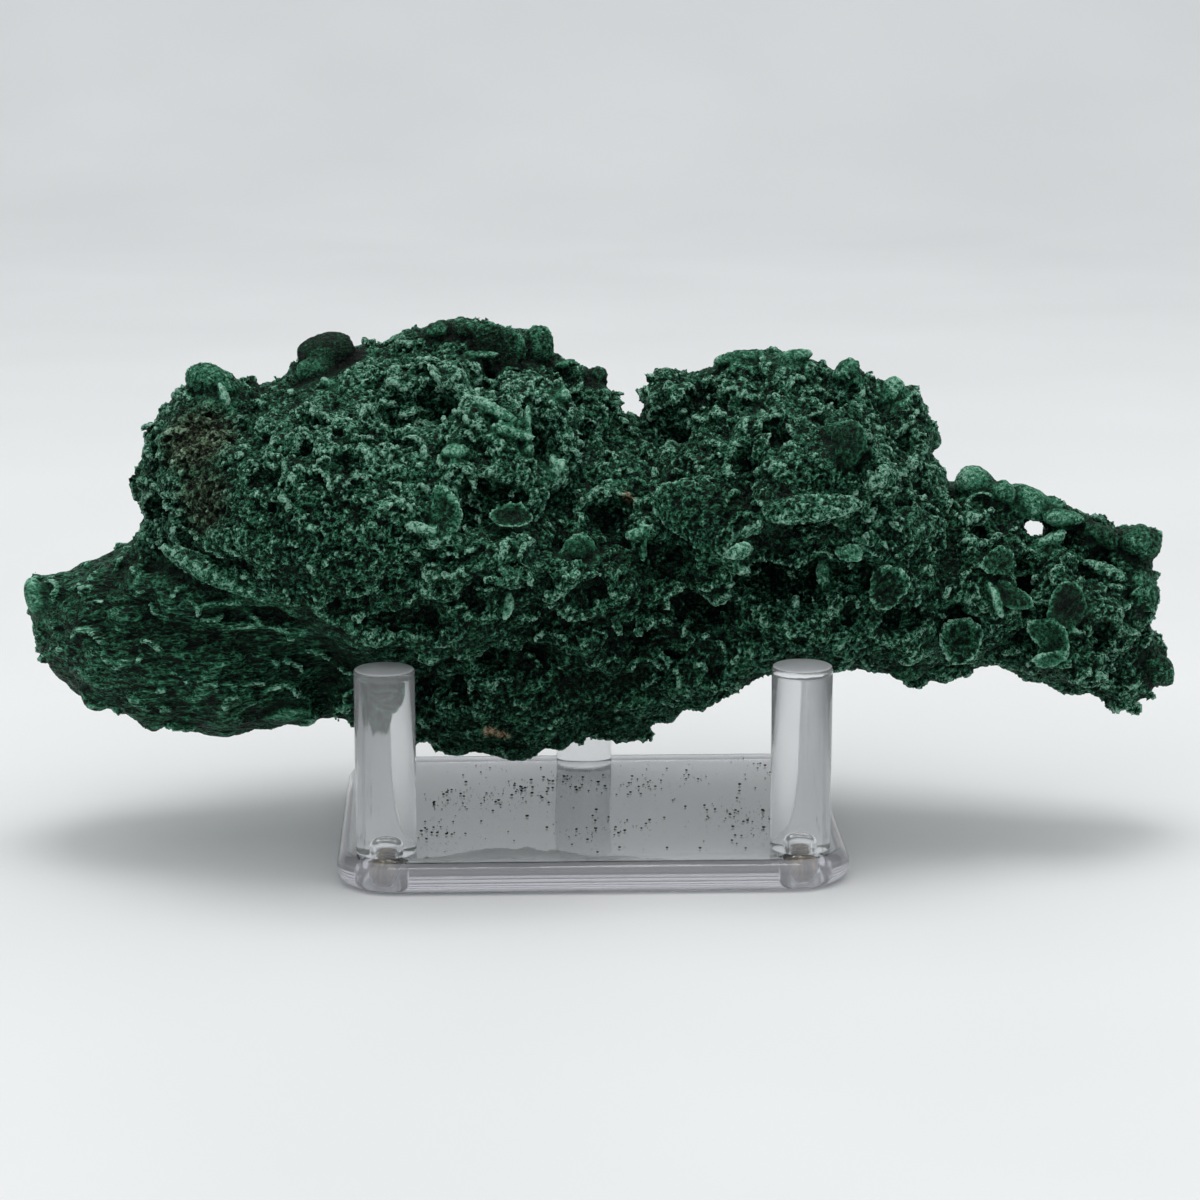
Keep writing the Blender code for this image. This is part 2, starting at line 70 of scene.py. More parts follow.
# %% Colour and node helpers
def linear(hex_colour):
    """Linear RGBA of an sRGB hex colour."""
    channels = [int(hex_colour[i:i + 2], 16) / 255 for i in (1, 3, 5)]
    return (*[c / 12.92 if c <= 0.04045 else ((c + 0.055) / 1.055) ** 2.4 for c in channels], 1.0)


def add_node(tree, kind, inputs=None, **settings):
    """Add a node. A value in inputs is a plain value or another node's output to link."""
    node = tree.nodes.new(kind)
    for name, value in settings.items():
        setattr(node, name, value)
    for key, value in (inputs or {}).items():
        if isinstance(value, bpy.types.NodeSocket):
            tree.links.new(value, node.inputs[key])
        else:
            node.inputs[key].default_value = value
    return node


# %% Mesh helpers
def new_object(name, mesh, material=None):
    obj = bpy.data.objects.new(name, mesh)
    bpy.context.scene.collection.objects.link(obj)
    if material:
        mesh.materials.clear()
        mesh.materials.append(material)
    return obj


def mesh_from_bmesh(name, bm):
    mesh = bpy.data.meshes.new(name)
    bm.to_mesh(mesh)
    bm.free()
    return mesh


def applied(obj, name=None):
    """Swap an object's mesh for a plain one with its modifiers applied."""
    bpy.context.view_layer.update()
    graph = bpy.context.evaluated_depsgraph_get()
    mesh = bpy.data.meshes.new_from_object(obj.evaluated_get(graph))
    mesh.name = name or obj.name
    obj.modifiers.clear()
    obj.data = mesh
    return obj


def count_triangles(obj):
    return sum(len(polygon.vertices) - 2 for polygon in obj.data.polygons)


# %% [markdown]
# ## The camera
#
# The photograph was taken from a little above, with a long lens. The lens and the camera's place
# were worked out from the pegs and the plate, whose sizes are known. The camera is made first,
# because many small features of the stone are placed by the pixel at which the photograph shows
# them: a ray through that pixel finds the point of the stone.

# %% Camera
PHOTO_SIZE = 1200
FOCAL_PIXELS = 3400
CAMERA_PLACE = Vector((-0.0209, -0.6796, 0.2004))
CAMERA_PITCH = math.radians(12.5)
CAMERA_YAW = math.radians(-1.96)
SENSOR_WIDTH = 36

forward = Vector((
    -math.sin(CAMERA_YAW) * math.cos(CAMERA_PITCH),
    math.cos(CAMERA_YAW) * math.cos(CAMERA_PITCH),
    -math.sin(CAMERA_PITCH),
))
sideways = Vector((math.cos(CAMERA_YAW), math.sin(CAMERA_YAW), 0))
upward = sideways.cross(forward)

camera_data = bpy.data.cameras.new("camera")
camera_data.sensor_width = SENSOR_WIDTH
camera_data.lens = SENSOR_WIDTH * FOCAL_PIXELS / PHOTO_SIZE
camera_data.clip_start = 0.01
camera = bpy.data.objects.new("camera", camera_data)
bpy.context.scene.collection.objects.link(camera)
camera.matrix_world = Matrix.Translation(CAMERA_PLACE) @ Matrix(
    (sideways, upward, -forward)).transposed().to_4x4()
bpy.context.scene.camera = camera


def pixel_ray(x, y):
    """Direction from the camera through a pixel of the photograph."""
    middle = PHOTO_SIZE / 2
    return (forward + sideways * (x - middle) / FOCAL_PIXELS
            - upward * (y - middle) / FOCAL_PIXELS).normalized()


# %% [markdown]
# ## The stone's base surface
#
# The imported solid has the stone's true form, but its facets are 4 to 5 mm wide. A voxel remesh
# gives it an even skin of small faces, and a smoothing takes the facets off. A sculpted or a
# scanned surface would also do; a remesh was chosen because it keeps to the solid by itself.

# %% Base surface of the stone
BASE_VOXEL = 1.1 * MM
FINE_VOXEL = 0.49 * MM

stone = new_object("malachite_stone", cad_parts["malachite"].data.copy())
weld = bmesh.new()
weld.from_mesh(stone.data)
bmesh.ops.remove_doubles(weld, verts=weld.verts, dist=0.001 * MM)
weld.to_mesh(stone.data)
weld.free()


def remesh(obj, voxel):
    modifier = obj.modifiers.new("Remesh", "REMESH")
    modifier.mode = "VOXEL"
    modifier.voxel_size = voxel
    modifier.use_smooth_shade = True


def soften(obj, passes, factor=0.5):
    modifier = obj.modifiers.new("Soften", "SMOOTH")
    modifier.factor = factor
    modifier.iterations = passes


remesh(stone, BASE_VOXEL)
soften(stone, 6)
applied(stone)
print("base surface", count_triangles(stone), "triangles")

base_tree = BVHTree.FromObject(stone, bpy.context.evaluated_depsgraph_get())


def on_stone(x, y):
    """Point and normal of the stone under a pixel of the photograph."""
    point, normal, _, _ = base_tree.ray_cast(CAMERA_PLACE, pixel_ray(x, y))
    return point, normal


# %% [markdown]
# ## Plates, caps, cups and fins
#
# Most of the stone is spongy, but some forms stand out of it one by one: pale caps along the top
# of the tail, round plates with a rim, a cup, thin fins, dark smooth lumps on the highest places.
# Each is one row of a list, found by its pixel in the photograph, and becomes a small dished or
# domed disc. How smooth and how pale it is goes to the points of the mesh, which the crust, the
# leaves and the shader all read. The left lobe is combed: its fibres run along it.

# %% Named forms of the stone
# Plates, cups, caps and fins that the photograph shows one by one. Each row: pixel x and y of its
# middle, width and height, thickness and hollow (how far the rim stands forward) in millimetres,
# spin in the picture, tilt back and turn aside in degrees, lift off the base surface in
# millimetres, smoothness, and shade from dark -1 to pale 1
FORMS = (
    # Caps and plates of the tail
    (977, 483, 10, 7, 5.0, -1.0, -10, 20, 0, 0.0, 0.8, 0.45),
    (1001, 492, 6, 5, 4.0, -0.6, -20, 0, 0, 0.0, 0.7, 0.30),
    (1030, 500, 10, 6.5, 4.0, -1.2, -25, 20, 0, 0.0, 0.8, 0.60),
    (1062, 518, 8, 3.8, 3.0, -0.6, -8, 0, 0, 1.0, 0.8, 0.35),
    (1098, 534, 10, 4.5, 3.5, -0.8, -25, 0, 0, 0.0, 0.6, -0.27),
    (1050, 541, 7, 3.2, 2.5, -0.5, 25, 0, 0, 1.0, 0.7, 0.60),
    (1139, 543, 8, 8, 6.0, -1.5, 0, 0, 0, 0.0, 0.55, -0.18),
    (1066, 605, 9.5, 9.0, 1.8, 0.8, 0, -15, 20, 2.0, 0.75, -0.15),
    (1052, 635, 9.5, 7.5, 1.6, 1.4, -12, -20, -15, 2.2, 0.85, 0.50),
    (1050, 657, 8, 3.4, 1.6, 0.8, 8, -30, 0, 1.4, 0.8, 0.35),
    (1011, 596, 9, 5.0, 1.8, 0.4, -22, 0, 0, 1.6, 0.75, -0.15),
    (996, 600, 1.9, 8.5, 2.4, -0.6, 18, 0, 0, 2.4, 0.8, 0.55),
    (961, 641, 9.5, 9.0, 1.6, 1.8, 0, 10, 0, 0.8, 0.4, 0.10),
    (998, 561, 6.5, 6.5, 1.4, 0.6, 0, 0, 20, 1.2, 0.6, 0.05),
    (1108, 572, 11, 2.6, 2.5, -0.6, -22, 0, 0, 1.2, 0.3, 0.35),
    (1140, 592, 7, 9, 5.0, -1.0, 0, 0, 0, 0.0, 0.4, -0.20),
    (1156, 668, 9, 7, 6.0, -1.0, -30, 0, 0, 0.0, 0.45, -0.24),
    # Dome: speckled plate, cup with its flap, folded band with a fin, small pale nodules
    (446, 511, 6.4, 9.4, 1.8, 0.5, 6, 0, -10, 1.4, 0.6, 0.12),
    (512, 520, 9.0, 5.5, 1.5, 2.2, 8, 30, 0, 1.6, 0.8, 0.35),
    (498, 412, 12, 2.6, 2.0, -0.4, -28, 0, 0, 1.6, 0.7, 0.45),
    (512, 432, 9, 2.4, 2.0, -0.4, -18, 0, 0, 2.0, 0.7, 0.50),
    (528, 426, 1.5, 8.5, 2.6, -0.3, 3, 0, 0, 2.6, 0.8, 0.60),
    (455, 452, 5.2, 3.6, 3.0, -0.8, 10, 0, 0, 0.8, 0.8, 0.60),
    (527, 449, 3.0, 2.4, 2.0, -0.6, 0, 0, 0, 1.0, 0.8, 0.60),
    (562, 395, 3.6, 2.8, 2.4, -0.6, 0, 0, 0, 0.8, 0.8, 0.55),
    (578, 553, 8.0, 8.0, 1.3, -0.4, -12, -10, 25, 2.0, 0.85, 0.40),
    (508, 606, 2.4, 5.5, 1.4, -0.3, -12, 0, 0, 2.0, 0.8, 0.55),
    (558, 467, 2.0, 4.5, 1.2, -0.3, -35, 0, 0, 1.8, 0.7, 0.65),
    (553, 462, 1.6, 4.0, 1.2, -0.3, 5, 0, 0, 1.8, 0.7, 0.65),
    (421, 528, 6.5, 2.0, 1.6, -0.4, -12, 0, 0, 1.4, 0.4, 0.55),
    # Lumps on top of the dome and of the peak
    (328, 357, 13, 9.5, 7.0, -1.5, 0, 0, 0, 0.0, 0.85, -0.45),
    (316, 373, 7.5, 8.0, 2.4, -1.4, 0, 0, 0, 1.8, 0.85, 0.25),
    (330, 384, 4.5, 2.0, 1.5, -0.4, -35, 0, 0, 2.0, 0.8, 0.60),
    (212, 384, 11, 7.5, 5.0, -1.2, -15, 0, 0, 0.0, 0.6, 0.15),
    (224, 396, 1.8, 6.0, 1.8, -0.3, 20, 0, 0, 1.6, 0.7, 0.50),
    (437, 331, 6, 3.8, 4.0, -0.8, 5, 0, 0, 0.0, 0.6, -0.27),
    (468, 332, 9, 3.8, 3.4, -0.8, 10, 0, 0, 0.4, 0.5, -0.21),
    (500, 350, 10, 11, 4.0, 1.0, 20, 0, 0, 0.6, 0.55, -0.42),
    (533, 350, 8, 10, 4.0, -1.0, -20, 0, 0, 0.4, 0.5, -0.30),
    (480, 355, 7, 1.8, 1.6, -0.3, 4, 0, 0, 2.2, 0.7, 0.10),
    (567, 364, 4.5, 1.8, 1.8, -0.2, 12, 0, 0, 1.6, 0.7, -0.30),
    (597, 378, 5.0, 4.5, 3.5, -0.8, -30, 0, 0, 0.4, 0.6, -0.33),
    # Right shoulder: caps along its top, the round plate, ledges round the great cave
    (740, 359, 11, 3.4, 3.5, -0.8, 8, 0, 0, 0.2, 0.7, 0.35),
    (790, 358, 9, 3.0, 3.0, -0.6, 12, 0, 0, 0.4, 0.7, 0.45),
    (848, 372, 6, 5.0, 4.0, -0.8, 0, 0, 0, 0.2, 0.6, 0.05),
    (892, 393, 6, 6.0, 4.0, -1.0, -30, 0, 0, 0.4, 0.7, 0.75),
    (848, 443, 7.5, 9.5, 1.8, -0.6, 18, 0, -20, 1.8, 0.75, -0.15),
    (836, 437, 4.5, 7.0, 1.6, -0.4, 15, 0, 0, 2.2, 0.8, -0.05),
    (810, 511, 19, 5.0, 5.0, -1.2, 4, -35, 0, 3.0, 0.1, 0.05),
    (705, 520, 21, 13, 3.0, -1.0, -30, 0, 0, 2.4, 0.2, -0.05),
    (739, 552, 5.5, 3.0, 2.0, -0.5, 15, -20, 0, 3.0, 0.5, 0.35),
    (637, 535, 5.5, 2.4, 1.4, -0.4, 10, -20, 0, 2.0, 0.8, 0.60),
    (644, 549, 1.6, 5.0, 1.2, -0.2, -5, 0, 0, 1.6, 0.8, 0.30),
    (888, 587, 8.5, 8.5, 1.5, 1.4, 0, 0, 0, 1.8, 0.5, 0.15),
    (823, 575, 3.0, 6.0, 1.4, -0.3, 12, 0, 0, 3.0, 0.8, 0.35),
    (850, 553, 6.0, 3.5, 1.4, -0.4, -15, 0, 0, 1.0, 0.7, 0.15),
    (905, 670, 8, 4.0, 4.0, -0.8, 0, 0, 0, 0.0, 0.5, 0.00),
    # Left lobe: its pale tip, the step across it and the smooth fold underneath
    (38, 598, 5.5, 8.0, 4.0, -1.0, 15, 0, 0, 0.2, 0.85, 0.40),
    (225, 578, 30, 4.5, 4.0, -1.0, -22, -20, 0, 1.2, 0.2, 0.20),
    (285, 713, 9, 4.0, 4.0, -0.8, 12, 0, 0, 0.0, 0.8, 0.10),
)
# Wide soft patches: pixel, radius in millimetres, shade, and how earthy (brown to beige) they are.
# The green patches are painted light and shade: paler on the dome and the upper shoulder, darker
# on the belly, the lower lobe and in and under the great cave. The earthy ones are the stone's own
# stains: brown iron, beige host rock and rust.
PAINTED_LIGHT_AND_STAINS = (
    (410, 430, 24, 0.45, 0.0), (600, 440, 16, 0.22, 0.0), (850, 430, 22, 0.14, 0.0),
    (520, 690, 28, -0.25, 0.0), (800, 560, 12, -0.60, 0.0), (650, 610, 18, -0.30, 0.0),
    (190, 660, 32, -0.12, 0.0), (198, 440, 7, -0.15, 0.30), (200, 500, 6, -0.10, 0.22),
    (490, 729, 1.5, 1.60, 1.0), (502, 734, 1.5, 1.50, 1.0), (628, 498, 1.3, 0.20, 0.9),
)
LOBE_RIGHT = -48 * MM
LOBE_TOP = 58 * MM
LOBE_BLEND = 14 * MM


def points_of(mesh):
    coords = np.empty(len(mesh.vertices) * 3, np.float32)
    mesh.vertices.foreach_get("co", coords)
    return coords.reshape(-1, 3)


def store(mesh, name, values):
    attribute = mesh.attributes.get(name) or mesh.attributes.new(name, "FLOAT", "POINT")
    attribute.data.foreach_set("value", np.asarray(values, np.float32))


def ease(values):
    """Clamp to 0 to 1 with soft ends."""
    clamped = np.clip(values, 0.0, 1.0)
    return clamped * clamped * (3 - 2 * clamped)


def form_place(form):
    """Middle of a named form and its axes: right, up and towards the viewer."""
    x, y, lift = form[0], form[1], form[9]
    point, _ = on_stone(x, y)
    if point is None:
        return None, None
    towards = -pixel_ray(x, y)
    right = sideways.copy()
    up = towards.cross(right).normalized()
    spin, tilt, turn = [math.radians(angle) for angle in form[6:9]]
    axes = Matrix((right, up, towards)).transposed()
    turned = (axes @ Matrix.Rotation(spin, 3, "Z") @ Matrix.Rotation(-tilt, 3, "X")
              @ Matrix.Rotation(turn, 3, "Y"))
    return point + towards * lift * MM, turned


def spotted(coords):
    """Smoothness, shade and earth of every point, from its patch and its named form. The green
    patches' shade is painted light and shade; the stains' and the forms' shade is their own tone.
    """
    smooth, shade, earth = np.zeros((3, len(coords)), np.float32)
    for x, y, radius, zone_painted_light_and_tone, zone_earth in PAINTED_LIGHT_AND_STAINS:
        point, _ = on_stone(x, y)
        if point is None:
            continue
        share = ease(1.5 - np.linalg.norm(coords - np.array(point), axis=1) / (radius * MM))
        shade += share * zone_painted_light_and_tone
        earth = np.maximum(earth, share * zone_earth)
    for form in FORMS:
        width, height, thickness = form[2:5]
        middle, axes = form_place(form)
        if middle is None:
            continue
        local = (coords - np.array(middle)) @ np.array(axes)
        reach = np.array((width / 2 + 0.5, height / 2 + 0.5, thickness + 1.5)) * MM
        distance = np.linalg.norm(local / reach, axis=1)
        share = ease((1.3 - distance) / 0.35)
        smooth += share * (form[10] - smooth)
        shade += share * (form[11] - shade)
    return smooth, shade, earth


def combed(coords):
    across = ease((LOBE_RIGHT - coords[:, 0]) / LOBE_BLEND + 0.5)
    below = ease((LOBE_TOP - coords[:, 2] + 0.25 * (LOBE_RIGHT - coords[:, 0])) / LOBE_BLEND)
    return across * below


print("forms off the stone:", [form[:2] for form in FORMS if form_place(form)[0] is None])

# %% [markdown]
# ## Caves, lumps and leaves
#
# Malachite like this grows as tufts of fine fibres on older crusts, which leaves ledges, cups,
# thin leaves and dark caves 3 to 12 mm across. They are far too many to model one by one. First
# the surface is moved along its normal by noise, and pressed in where the photograph shows a
# cave. Then Geometry Nodes plant some two thousand thin curved leaves on it, and a voxel remesh
# melts them into one body with real overhangs, which noise alone can't give.

# %% Caves placed one by one
# Pixel of the photograph, half width and half height in millimetres, depth in millimetres
CAVES = (
    (800, 556, 12, 6.0, 11), (755, 575, 8, 5, 8), (850, 575, 7, 5, 7), (700, 610, 9, 4, 6),
    (640, 640, 9, 4.5, 6), (590, 605, 6, 4, 5), (612, 515, 5, 4, 6), (660, 560, 5, 4, 4),
    (400, 412, 4.5, 3.5, 5), (345, 460, 4, 3, 4), (490, 378, 5, 3.5, 5), (540, 430, 3, 6, 5),
    (480, 490, 4, 2.5, 4), (675, 437, 4.5, 3, 5), (840, 400, 4, 3, 4), (850, 470, 4.5, 3.5, 5),
    (930, 490, 4, 4, 4), (745, 470, 3.5, 7, 4), (505, 497, 4.5, 2.5, 4), (445, 560, 6, 2.5, 3.5),
    (560, 500, 4, 3, 4), (770, 430, 4, 3, 4), (900, 440, 4, 3, 4), (700, 400, 3, 3, 3.5),
    (310, 420, 4, 2.5, 3), (260, 480, 4, 3, 3), (400, 620, 8, 3, 3.5), (520, 660, 8, 3.5, 4),
    (450, 690, 7, 3, 3.5), (250, 620, 12, 2.5, 3.5), (960, 620, 5, 3.5, 4), (900, 620, 5, 3, 3.5),
    (1020, 585, 3.5, 3, 4), (1110, 640, 4, 3.5, 5), (985, 530, 4, 2.5, 3.5),
)


def press_caves(mesh):
    """Push the surface inwards at each cave, along the stone's own normal there."""
    coords = points_of(mesh)
    for x, y, half_width, half_height, depth in CAVES:
        point, normal = on_stone(x, y)
        if point is None:
            continue
        tangent = normal.cross(Vector((0, 0, 1))).normalized()
        rise = tangent.cross(normal).normalized()
        offset = coords - np.array(point)
        across = offset @ np.array(tangent) / (half_width * MM)
        along = offset @ np.array(rise) / (half_height * MM)
        inwards = offset @ np.array(normal) / (1.3 * depth * MM)
        fall = ease(1.35 - np.sqrt(across ** 2 + along ** 2 + inwards ** 2))
        coords = coords - np.outer(fall * depth * MM, np.array(normal)).astype(np.float32)
    mesh.vertices.foreach_set("co", coords.ravel())


# %% Geometry tree helpers
# The stone's material is made here, because each tree sets it; its shader is built further down
stone_finish = bpy.data.materials.new("fibrous malachite crust")


def new_geometry_tree(name, inputs):
    """A geometry tree with named inputs. inputs maps a name to its socket type and value."""
    tree = bpy.data.node_groups.new(name, "GeometryNodeTree")
    tree.interface.new_socket("Geometry", in_out="INPUT", socket_type="NodeSocketGeometry")
    for key, (kind, value) in inputs.items():
        socket = tree.interface.new_socket(key, in_out="INPUT", socket_type=kind)
        if value is not None:
            socket.default_value = value
    tree.interface.new_socket("Finish", in_out="INPUT", socket_type="NodeSocketMaterial")
    tree.interface.new_socket("Geometry", in_out="OUTPUT", socket_type="NodeSocketGeometry")
    return tree


def finish_tree(tree, geometry):
    """End a tree: instances become real mesh, and all of it gets the finish."""
    given = next(node for node in tree.nodes if node.bl_idname == "NodeGroupInput").outputs
    real = add_node(tree, "GeometryNodeRealizeInstances", {"Geometry": geometry})
    dressed = add_node(tree, "GeometryNodeSetMaterial", {
        "Geometry": real.outputs[0], "Material": given["Finish"]})
    add_node(tree, "NodeGroupOutput", {"Geometry": dressed.outputs[0]})


def add_tree(obj, tree, **values):
    """Put a geometry tree on an object and set its inputs, found by name, through their ids."""
    modifier = obj.modifiers.new(tree.name, "NODES")
    modifier.node_group = tree
    for item in tree.interface.items_tree:
        if item.in_out == "INPUT" and item.name.replace(" ", "_") in values:
            modifier[item.identifier] = values[item.name.replace(" ", "_")]
    return modifier


def math_node(tree, operation, *values, clamp=False):
    """Output of a Math node, since the trees below do much arithmetic."""
    node = add_node(tree, "ShaderNodeMath", dict(enumerate(values)), operation=operation)
    node.use_clamp = clamp
    return node.outputs[0]


def named(tree, name):
    return add_node(tree, "GeometryNodeInputNamedAttribute", {"Name": name},
                    data_type="FLOAT").outputs["Attribute"]


# %% Lumps and pits tree
def lumps_tree():
    tree = new_geometry_tree("Lumps and pits", {
        "Lump size": ("NodeSocketFloat", 8 * MM),
        "Lump height": ("NodeSocketFloat", 2.2 * MM),
        "Pit size": ("NodeSocketFloat", 6 * MM),
        "Pit depth": ("NodeSocketFloat", 3.0 * MM),
    })
    given = add_node(tree, "NodeGroupInput").outputs
    position = add_node(tree, "GeometryNodeInputPosition").outputs[0]
    normal = add_node(tree, "GeometryNodeInputNormal").outputs[0]
    lump_scale = math_node(tree, "DIVIDE", 1.0, given["Lump size"])
    lump = add_node(tree, "ShaderNodeTexNoise",
                    {"Vector": position, "Scale": lump_scale, "Detail": 2.0, "Roughness": 0.6})
    lump_height = math_node(tree, "MULTIPLY",
                            math_node(tree, "SUBTRACT", lump.outputs["Fac"], 0.52),
                            math_node(tree, "MULTIPLY", given["Lump height"], 2.0))
    pit_scale = math_node(tree, "DIVIDE", 1.0, given["Pit size"])
    cells = add_node(tree, "ShaderNodeTexVoronoi",
                     {"Vector": position, "Scale": pit_scale, "Randomness": 1.0})
    pit = math_node(tree, "SUBTRACT", 1.0,
                    math_node(tree, "MULTIPLY", cells.outputs["Distance"], 2.2), clamp=True)
    chosen = add_node(tree, "ShaderNodeTexNoise", {"Vector": position, "Scale": 60.0, "Detail": 1.0})
    here = math_node(tree, "MULTIPLY",
                     math_node(tree, "SUBTRACT", chosen.outputs["Fac"], 0.38), 6.0, clamp=True)
    pit_depth = math_node(tree, "MULTIPLY", math_node(tree, "MULTIPLY", pit, here),
                          given["Pit depth"])
    height = math_node(tree, "SUBTRACT", lump_height, pit_depth)
    rough = math_node(tree, "SUBTRACT", 1.0, math_node(tree, "MULTIPLY", named(tree, "smooth"), 0.85))
    calm = math_node(tree, "SUBTRACT", 1.0, math_node(tree, "MULTIPLY", named(tree, "flow"), 0.6))
    height = math_node(tree, "MULTIPLY", height, math_node(tree, "MULTIPLY", rough, calm))
    offset = add_node(tree, "ShaderNodeVectorMath", {0: normal, "Scale": height}, operation="SCALE")
    moved = add_node(tree, "GeometryNodeSetPosition",
                     {"Geometry": given["Geometry"], "Offset": offset.outputs[0]})
    finish_tree(tree, moved.outputs[0])
    return tree


# %% Leaf shapes
LEAF_SIDE_STEPS = 7
LEAF_UP_STEPS = 4


def leaf_mesh(name, width, reach, thickness, curl, lean, seed):
    """A thin curved leaf that stands on its lower edge. Z is away from the stone."""
    rng = random.Random(seed)
    bm = bmesh.new()
    rows = []
    edge = [rng.uniform(0.7, 1.15) for _ in range(LEAF_SIDE_STEPS)]
    root = 0.45 * reach
    for side in (-0.5, 0.5):
        grid = []
        for i in range(LEAF_SIDE_STEPS):
            u = 2 * i / (LEAF_SIDE_STEPS - 1) - 1
            tall = (reach + root) * (1 - 0.45 * u * u) * edge[i]
            column = []
            for j in range(LEAF_UP_STEPS):
                v = j / (LEAF_UP_STEPS - 1)
                slab = thickness * (1 - 0.45 * v) * side
                column.append(bm.verts.new((
                    0.5 * width * u * (1 - 0.15 * v),
                    curl * u * u + lean * v * v + slab,
                    tall * v - root)))
            grid.append(column)
        rows.append(grid)
    low, high = rows
    last_i, last_j = LEAF_SIDE_STEPS - 1, LEAF_UP_STEPS - 1
    for i in range(last_i):
        for j in range(last_j):
            bm.faces.new((low[i][j], low[i + 1][j], low[i + 1][j + 1], low[i][j + 1]))
            bm.faces.new((high[i][j], high[i][j + 1], high[i + 1][j + 1], high[i + 1][j]))
        bm.faces.new((low[i][last_j], low[i + 1][last_j], high[i + 1][last_j], high[i][last_j]))
        bm.faces.new((low[i + 1][0], low[i][0], high[i][0], high[i + 1][0]))
    for j in range(last_j):
        bm.faces.new((low[0][j], low[0][j + 1], high[0][j + 1], high[0][j]))
        bm.faces.new((low[last_i][j + 1], low[last_i][j], high[last_i][j], high[last_i][j + 1]))
    bmesh.ops.recalc_face_normals(bm, faces=bm.faces)
    return mesh_from_bmesh(name, bm)


leaf_shapes = bpy.data.collections.new("leaf_shapes")
for index, (width, reach, thickness, curl, lean) in enumerate((
        (7.0, 2.0, 1.1, 1.4, 0.8), (5.5, 1.8, 1.0, 1.1, -0.6), (8.5, 1.9, 1.2, 2.2, 1.2),
        (4.5, 2.4, 1.0, 0.6, 0.4), (6.0, 1.6, 1.3, -1.5, 0.9), (4.0, 1.5, 1.2, 0.9, -0.3))):
    shape = bpy.data.objects.new(f"leaf_shape_{index}", leaf_mesh(
        f"leaf_shape_{index}", width * MM, reach * MM, thickness * MM, curl * MM, lean * MM, index))
    leaf_shapes.objects.link(shape)

# %% Leaves tree
LEAF_SEED = 4


def leaves_tree():
    tree = new_geometry_tree("Crust leaves", {
        "Leaf shapes": ("NodeSocketCollection", None),
        "Leaf spacing": ("NodeSocketFloat", 5 * MM),
        "Smallest": ("NodeSocketFloat", 0.6),
        "Largest": ("NodeSocketFloat", 1.15),
    })
    given = add_node(tree, "NodeGroupInput").outputs
    leafy = math_node(tree, "MULTIPLY",
                      math_node(tree, "SUBTRACT", 1.0, named(tree, "smooth")),
                      math_node(tree, "SUBTRACT", 1.0, named(tree, "bare")), clamp=True)
    points = add_node(tree, "GeometryNodeDistributePointsOnFaces", {
        "Mesh": given["Geometry"], "Distance Min": given["Leaf spacing"],
        "Density Max": 60000.0, "Density Factor": leafy, "Seed": LEAF_SEED},
        distribute_method="POISSON")
    sideways_tangent = add_node(tree, "ShaderNodeVectorMath", {
        0: points.outputs["Normal"], 1: (0, 0, 1)}, operation="CROSS_PRODUCT")
    lying = add_node(tree, "FunctionNodeAlignRotationToVector", {
        "Vector": sideways_tangent.outputs[0]}, axis="X")
    standing = add_node(tree, "FunctionNodeAlignRotationToVector", {
        "Rotation": lying.outputs[0], "Vector": points.outputs["Normal"]}, axis="Z", pivot_axis="X")
    turn = add_node(tree, "FunctionNodeRandomValue", {
        0: (-0.45, -0.25, -1.1), 1: (0.45, 0.25, 1.1), "Seed": LEAF_SEED}, data_type="FLOAT_VECTOR")
    turned = add_node(tree, "FunctionNodeRotateRotation", {
        "Rotation": standing.outputs[0], "Rotate By": turn.outputs[0]}, rotation_space="LOCAL")
    shapes = add_node(tree, "GeometryNodeCollectionInfo", {
        "Collection": given["Leaf shapes"], "Separate Children": True, "Reset Children": True})
    size = add_node(tree, "FunctionNodeRandomValue", {
        2: given["Smallest"], 3: given["Largest"], "Seed": LEAF_SEED + 1}, data_type="FLOAT")
    planted = add_node(tree, "GeometryNodeInstanceOnPoints", {
        "Points": points.outputs["Points"], "Instance": shapes.outputs[0], "Pick Instance": True,
        "Rotation": turned.outputs[0], "Scale": size.outputs[1]})
    joined = add_node(tree, "GeometryNodeJoinGeometry")
    tree.links.new(given["Geometry"], joined.inputs[0])
    tree.links.new(planted.outputs[0], joined.inputs[0])
    finish_tree(tree, joined.outputs[0])
    return tree


# %% Shape the named forms
DISC_RINGS = 5
DISC_STEPS = 20
DISC_WOBBLE = 0.10


def add_disc(bm, form, rng):
    """A disc with an uneven rim, dished where its hollow is above 0 and domed below 0."""
    width, height, thickness, hollow = [size * MM for size in form[2:6]]
    middle, axes = form_place(form)
    if middle is None:
        return
    first, second = rng.uniform(0, 2 * math.pi), rng.uniform(0, 2 * math.pi)
    angles = [2 * math.pi * i / DISC_STEPS for i in range(DISC_STEPS)]
    wobble = [1 + DISC_WOBBLE * (math.cos(2 * t + first) + 0.7 * math.cos(3 * t + second))
              + rng.uniform(-0.04, 0.04) for t in angles]
    faces_of_side = []
    for side in (0, 1):
        rings = []
        for ring in range(DISC_RINGS + 1):
            r = ring / DISC_RINGS
            depth = hollow * r * r + (0.5 - side) * thickness * math.sqrt(1.03 - r * r)
            steps = range(DISC_STEPS) if ring else range(1)
            rings.append([bm.verts.new(middle + axes @ Vector((
                width / 2 * r * wobble[i] * math.cos(angles[i]),
                height / 2 * r * wobble[i] * math.sin(angles[i]),
                depth))) for i in steps])
        faces_of_side.append(rings)
    front, back = faces_of_side
    pairs = list(zip(front, front[1:])) + [(front[-1], back[-1])] + list(zip(back[1:], back))[::-1]
    for inner, outer in pairs:
        for i in range(DISC_STEPS):
            j = (i + 1) % DISC_STEPS
            corners = [inner[i % len(inner)], outer[i % len(outer)],
                       outer[j % len(outer)], inner[j % len(inner)]]
            bm.faces.new(list(dict.fromkeys(corners)))


